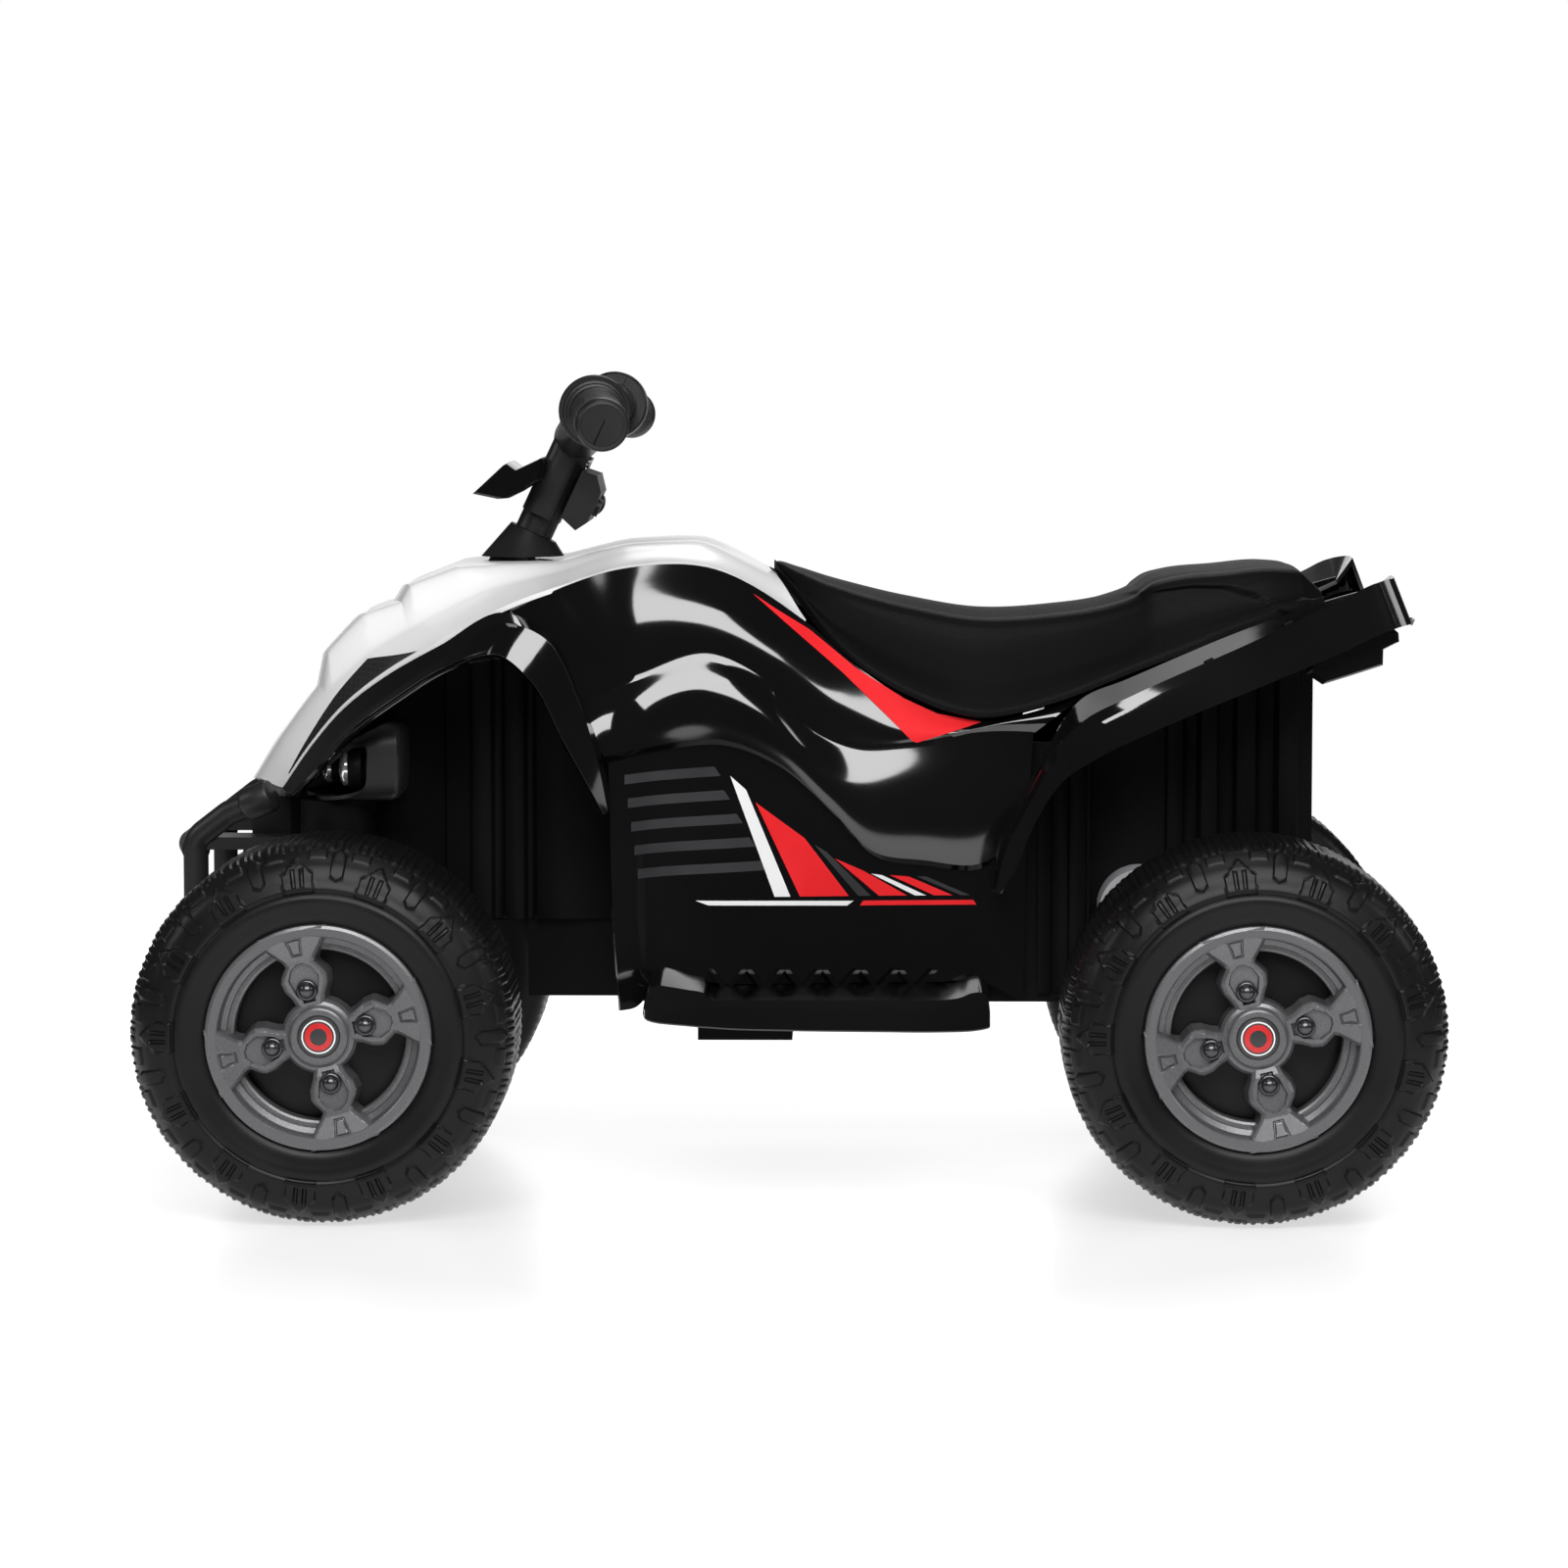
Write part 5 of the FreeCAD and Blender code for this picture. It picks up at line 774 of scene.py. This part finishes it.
def tyre_sheet():
    """Tyre: a profile of radius and width turned about the axle, raised along its own normal by the blocks:
    thirteen house-shaped blocks with bars, pointed lugs between them, shoulder blocks and tread ribs."""
    fine = through(TYRE_PROFILE, 20)
    run = np.concatenate([[0], np.cumsum(np.linalg.norm(np.diff(fine, axis=0), axis=1))])
    to_groove, to_edge = (run[np.argmin(np.abs(fine - at).sum(1))] for at in (WALL_GROOVE, TREAD_EDGE))
    stops = np.concatenate([np.linspace(0, to_groove, 44)[:-1], np.linspace(to_groove, to_edge + 3, 52)[:-1],
                            np.linspace(to_edge + 3, run[-1], 22)])
    radius, width = (np.interp(stops, run, fine[:, k])[:, None] for k in (0, 1))
    out = np.stack([np.gradient(-width[:, 0]), np.gradient(radius[:, 0])], -1)
    out /= np.linalg.norm(out, axis=1, keepdims=True)
    turn = np.linspace(0, 2 * np.pi, BLOCKS * 44 + 1)[None]
    pitch = 2 * np.pi / BLOCKS
    near = (turn + pitch / 2) % pitch - pitch / 2
    between = turn % pitch - pitch / 2
    face = step(width - 20, 4)
    beside, rise = radius * near, radius - 99
    roof = np.where(rise > 2, 9.2 - (rise - 2) * 1.0, 9.2)
    inside = np.minimum(roof - np.abs(beside), rise + 8.5)
    slots = np.minimum(1.0 - np.abs(np.abs(beside) - 2.6), 5.4 - np.abs(rise + 0.6))
    block = step(inside, 0.9) - 0.9 * step(np.minimum(slots, inside - 1.5), 0.8)
    lug_across, lug_rise = np.abs(radius * between), np.abs(radius - 105.5)
    lug = step(np.minimum(3.8 - lug_across, (8.8 - lug_rise) * 0.7 - lug_across * 0.5), 0.9)
    stagger = (turn * BLOCKS * 2 / (2 * np.pi)) % 1
    shoulder = step(np.minimum(radius - 109.6, 114 - radius) * face, 1.0)
    shoulder = shoulder * step(0.2 - np.abs(stagger - 0.5), 0.04)
    rib = 0.5 + 0.5 * np.sign(np.sin(turn * BLOCKS * 11))
    tread = step(36 - width, 3) * step(width + 46, 6) * step(radius - 104, 4)
    lift = face * (1.7 * block + 2.3 * lug) + 1.3 * shoulder * face + 1.0 * rib * tread
    r = np.minimum(radius + out[:, :1] * lift, WHEEL_RADIUS)
    y = width + out[:, 1:] * lift
    return np.stack([r * np.cos(turn), y + 0 * turn, r * np.sin(turn)], -1)


rim_grey = finish("grey_rim_paint", (0.15, 0.15, 0.155), 0.36, Metallic=0.55)
mottle(rim_grey, 1500.0, Base_Color=((0.1, 0.1, 0.105), (0.165, 0.165, 0.17)))
mottle(rim_grey, 30.0, Roughness=(0.3, 0.42))

cap_grey = finish("dark_cap", (0.03, 0.03, 0.032), 0.3)
mottle(cap_grey, 60.0, Roughness=(0.22, 0.4))

bolt_metal = finish("dark_bolt_metal", (0.09, 0.09, 0.095), 0.25, Metallic=0.9)
mottle(bolt_metal, 400.0, Roughness=(0.2, 0.32))

red_cap = finish("red_print", (0.55, 0.02, 0.02), 0.3)
mottle(red_cap, 90.0, Base_Color=((0.5, 0.016, 0.016), (0.6, 0.025, 0.025)))

SPOKES = 4
SPOKE_TURN = -14.0
BOLT_AT = 29.5
CAP_ROUND, CAP_TOP = 50.4, 48.75
WHEEL_Y = 186


def turned(profile, sides=144):
    """A line of radius and width points, turned about the axle."""
    profile = np.asarray(profile, float)
    turn = np.linspace(0, 2 * np.pi, sides + 1)[None]
    r, y = profile[:, :1], profile[:, 1:]
    return np.stack([r * np.cos(turn), y + 0 * turn, r * np.sin(turn)], -1)


def about_axle(sheet, degrees):
    """A sheet turned about the axle."""
    c, s = math.cos(math.radians(degrees)), math.sin(math.radians(degrees))
    return sheet @ np.array([(c, 0, s), (0, 1, 0), (-s, 0, c)])


def spoke_sheet():
    """One spoke: a runs out from the hub, b across. The top rises towards the ring and carries a six-sided
    pocket for the bolt, a fork at the hub and a tapered recess outside; the flanks drop to the dish."""
    bends = [19, 25, 31, 37, 40, 46, 48.5, 58, 62.5, 67]
    a = np.union1d(np.linspace(19, 67, 110), bends)[:, None]
    half = np.interp(a, bends, [7.8, 9.5, 12.8, 13.8, 12.6, 8.4, 9.4, 17.5, 20.5, 21])
    v = np.linspace(-1, 1, 71)[None]
    b = half * v
    crest = np.interp(a, [19, 24, 38, 49, 62, 67], [44.5, 46.2, 48.4, 49.6, 53.2, 53.4])
    bevelled = 1.5 * np.clip((np.abs(b) - half + 2) / 2, 0, 1)
    pocket = np.interp(a, [24, 27, 37, 43.5, 46], [3.6, 6.4, 9.3, 6.4, 2.2]) - np.abs(b)
    pocket = np.minimum(pocket, np.minimum(a - 22, 46.2 - a))
    recess = np.minimum(np.interp(a, [51.5, 63], [3.0, 5.2]) - np.abs(b), np.minimum(a - 51.5, 62.5 - a))
    groove = step(recess, 0.6) - 0.8 * step(recess - 1.2, 0.6)
    top = crest - bevelled - 3.0 * step(pocket, 0.7) - 1.7 * groove
    flank = np.concatenate([-half - 2.6, -half - 0.7], 1)
    b = np.concatenate([flank, b, -flank[:, ::-1]], 1)
    low, chamfer = 0 * a + 29, crest - 2.4
    y = np.concatenate([low, chamfer, top, chamfer, low], 1)
    return np.stack([a + 0 * b, y, b], -1)


def rim_sheets():
    """Rim cover: the outer ring with its stepped ledge, the hub plate, four spokes and their domed bolts."""
    ring = turned([(52.6, 29), (52.6, 37), (53.2, 38.4), (54.6, 39), (56.8, 39), (57.4, 41.4), (60.6, 42.6),
                   (61.6, 44), (62.2, 52.6), (63, 53.3), (67.4, 53.4), (69.2, 52.6), (69.8, 50.6),
                   (69.4, 48)])
    hub = turned([(12.9, 41), (12.9, 46.8), (13.5, 47.5), (16.4, 47.5), (17.6, 46.8), (18.2, 45.6),
                  (19.4, 44.6), (21.4, 43.8), (23.2, 41.6), (24, 29)])
    bolt = turned([(0, 52.3), (1.8, 52), (3.4, 51.2), (4.5, 49.8), (4.9, 48.4), (5.2, 47.8), (5.9, 47.7),
                   (6.4, 47), (6.4, 44)], 28)
    turns = [SPOKE_TURN + 360 / SPOKES * k for k in range(SPOKES)]
    spokes = [about_axle(spoke_sheet(), turn) for turn in turns]
    return [ring, hub, *spokes], [about_axle(bolt + (BOLT_AT, 0, 0), turn) for turn in turns]


def cap_ring(inner, outer):
    """A thin printed ring on the cap's crown: a band of a sphere, a quarter of a millimetre proud."""
    r = np.linspace(inner, outer, 7)
    return turned(np.stack([r, CAP_TOP - CAP_ROUND + np.sqrt(CAP_ROUND**2 - r**2)], -1))


def on_axle(sheet, axle_x, hand):
    """A wheel's sheet, made about its own centre, on its axle and with its face outwards."""
    return (sheet * (1, hand, 1))[::-hand] * MM + np.array([axle_x, hand * WHEEL_Y, WHEEL_RADIUS]) * MM


tyre_shape = tyre_sheet()
rim_shapes, bolt_shapes = rim_sheets()
for end, axle_x in (("front", AXLE_X), ("rear", -AXLE_X)):
    for side, hand in HANDS:
        name = end + "_" + side
        body = "wheel_" + name
        tyre = surface("tyre_skin_" + name, on_axle(tyre_shape, axle_x, hand), crisp=35.0)
        fit(tyre, tyre_black, "tyre_plastic", body, "tyre_" + name)
        rim = surface("rim_skin_" + name, *[on_axle(sheet, axle_x, hand) for sheet in rim_shapes], crisp=16.0)
        fit(rim, rim_grey, "rim_grey", body, "rim_" + name)
        bolts = [on_axle(sheet, axle_x, hand) for sheet in bolt_shapes]
        fit(surface("rim_bolts_" + name, *bolts, crisp=50.0), bolt_metal, "cap_grey", body)
        dress(cap_grey, "hub_cap_" + name)
        red_ring = surface("hub_ring_" + name, on_axle(cap_ring(5.2, 8.6), axle_x, hand))
        fit(red_ring, red_cap, "button_red", body)
        pale_ring = surface("hub_line_" + name, on_axle(cap_ring(9.6, 10.5), axle_x, hand))
        fit(pale_ring, gloss_white, "gloss_white", body)

# Studio. Five soft boxes, and a white floor that glows, so that only a faint shadow is left on it.
# The air is white to the camera, and glossy surfaces mirror it only where they look straight behind the bike.
def ranged(tree, value, from_min, from_max, to_min, to_max):
    """An output that runs from to_min to to_max as a value goes from from_min to from_max."""
    made = tree.nodes.new("ShaderNodeMapRange")
    ends = {"From Min": from_min, "From Max": from_max, "To Min": to_min, "To Max": to_max}
    for socket, number in ends.items():
        made.inputs[socket].default_value = number
    tree.links.new(value, made.inputs["Value"])
    return made.outputs["Result"]


def joined(tree, operation, *values):
    """The sum or the product of two outputs."""
    made = tree.nodes.new("ShaderNodeMath")
    made.operation = operation
    for value, socket in zip(values, made.inputs):
        tree.links.new(value, socket)
    return made.outputs["Value"]


floor_white = finish("studio_floor", (0.42, 0.42, 0.42), 0.25, Emission_Color=(1, 1, 1, 1))
tree = floor_white.node_tree
place = tree.nodes.new("ShaderNodeTexCoord")
reach = tree.nodes.new("ShaderNodeVectorMath")
reach.operation = "LENGTH"
tree.links.new(place.outputs["Object"], reach.inputs[0])
glow = ranged(tree, reach.outputs["Value"], 0.45, 1.05, 0.62, 1.0)
tree.links.new(glow, tree.nodes["Principled BSDF"].inputs["Emission Strength"])

disc_turn = np.linspace(0, 2 * np.pi, 129)[None]
disc_reach = np.linspace(0, 1.4, 12)[:, None]
disc = [disc_reach * np.cos(disc_turn), disc_reach * np.sin(disc_turn), 0 * disc_reach * disc_turn]
floor = surface("studio_floor", np.stack(disc, -1))
floor.data.materials.append(floor_white)

world = bpy.data.worlds.new("studio_air")
world.use_nodes = True
tree = world.node_tree
background = tree.nodes["Background"]
background.inputs["Color"].default_value = (1, 1, 1, 1)
ray = tree.nodes.new("ShaderNodeLightPath")
toward = tree.nodes.new("ShaderNodeTexCoord")
axes = tree.nodes.new("ShaderNodeSeparateXYZ")
tree.links.new(toward.outputs["Object"], axes.inputs["Vector"])
behind = ranged(tree, axes.outputs["Y"], -0.94, -0.97, 0.0, 1.0)
mirrored = joined(tree, "ADD", ray.outputs["Is Glossy Ray"], ray.outputs["Is Transmission Ray"])
seen = joined(tree, "ADD", ray.outputs["Is Camera Ray"], joined(tree, "MULTIPLY", mirrored, behind))
tree.links.new(ranged(tree, seen, 0.0, 1.0, 0.04, 1.0), background.inputs["Strength"])
bpy.context.scene.world = world


def soft_box(name, at, aim, wide, tall, radiance):
    """Flat lamp of one radiance, so its power is radiance times pi times its area, turned to face a point."""
    light = bpy.data.lights.new(name, "AREA")
    light.shape = "RECTANGLE"
    light.size = wide
    light.size_y = tall
    light.energy = radiance * math.pi * wide * tall
    holder = bpy.data.objects.new(name, light)
    bpy.context.scene.collection.objects.link(holder)
    way = mathutils.Vector(aim) - mathutils.Vector(at)
    facing = way.to_track_quat("-Z", "Y").to_matrix().to_4x4()
    holder.matrix_world = mathutils.Matrix.Translation(at) @ facing


soft_box("key_box", (-0.15, 2.3, 1.9), (0, 0, 0.25), 2.4, 1.3, 8.6)
soft_box("top_box", (0.0, 0.2, 3.0), (0, 0, 0.2), 1.6, 1.2, 2.0)
soft_box("far_box", (-0.4, -2.2, 2.4), (0, 0, 0.3), 1.6, 0.8, 4.0)
soft_box("nose_box", (2.6, 0.6, 1.5), (0.2, 0, 0.3), 0.9, 0.9, 4.0)
soft_box("tail_box", (-2.6, 0.6, 1.5), (-0.2, 0, 0.3), 0.9, 0.9, 4.0)
bpy.context.scene.view_settings.view_transform = "Standard"

# Camera. A long lens 3.4 m to the rider's left and a little above the bar, tilted down by 5 degrees.
# It is placed by fitting the wheels and the body's outline to the photograph's frame.
lens = bpy.data.cameras.new("photo_camera")
lens.lens = 120.0
lens.sensor_width = 36.0
lens.sensor_fit = "HORIZONTAL"
lens.clip_end = 40.0
camera = bpy.data.objects.new("photo_camera", lens)
bpy.context.scene.collection.objects.link(camera)
sight = mathutils.Vector((0.0150, -0.9961, -0.0864))
camera.matrix_world = (mathutils.Matrix.Translation((-0.0455, 3.4058, 0.5501))
                       @ sight.to_track_quat("-Z", "Y").to_matrix().to_4x4())
bpy.context.scene.camera = camera
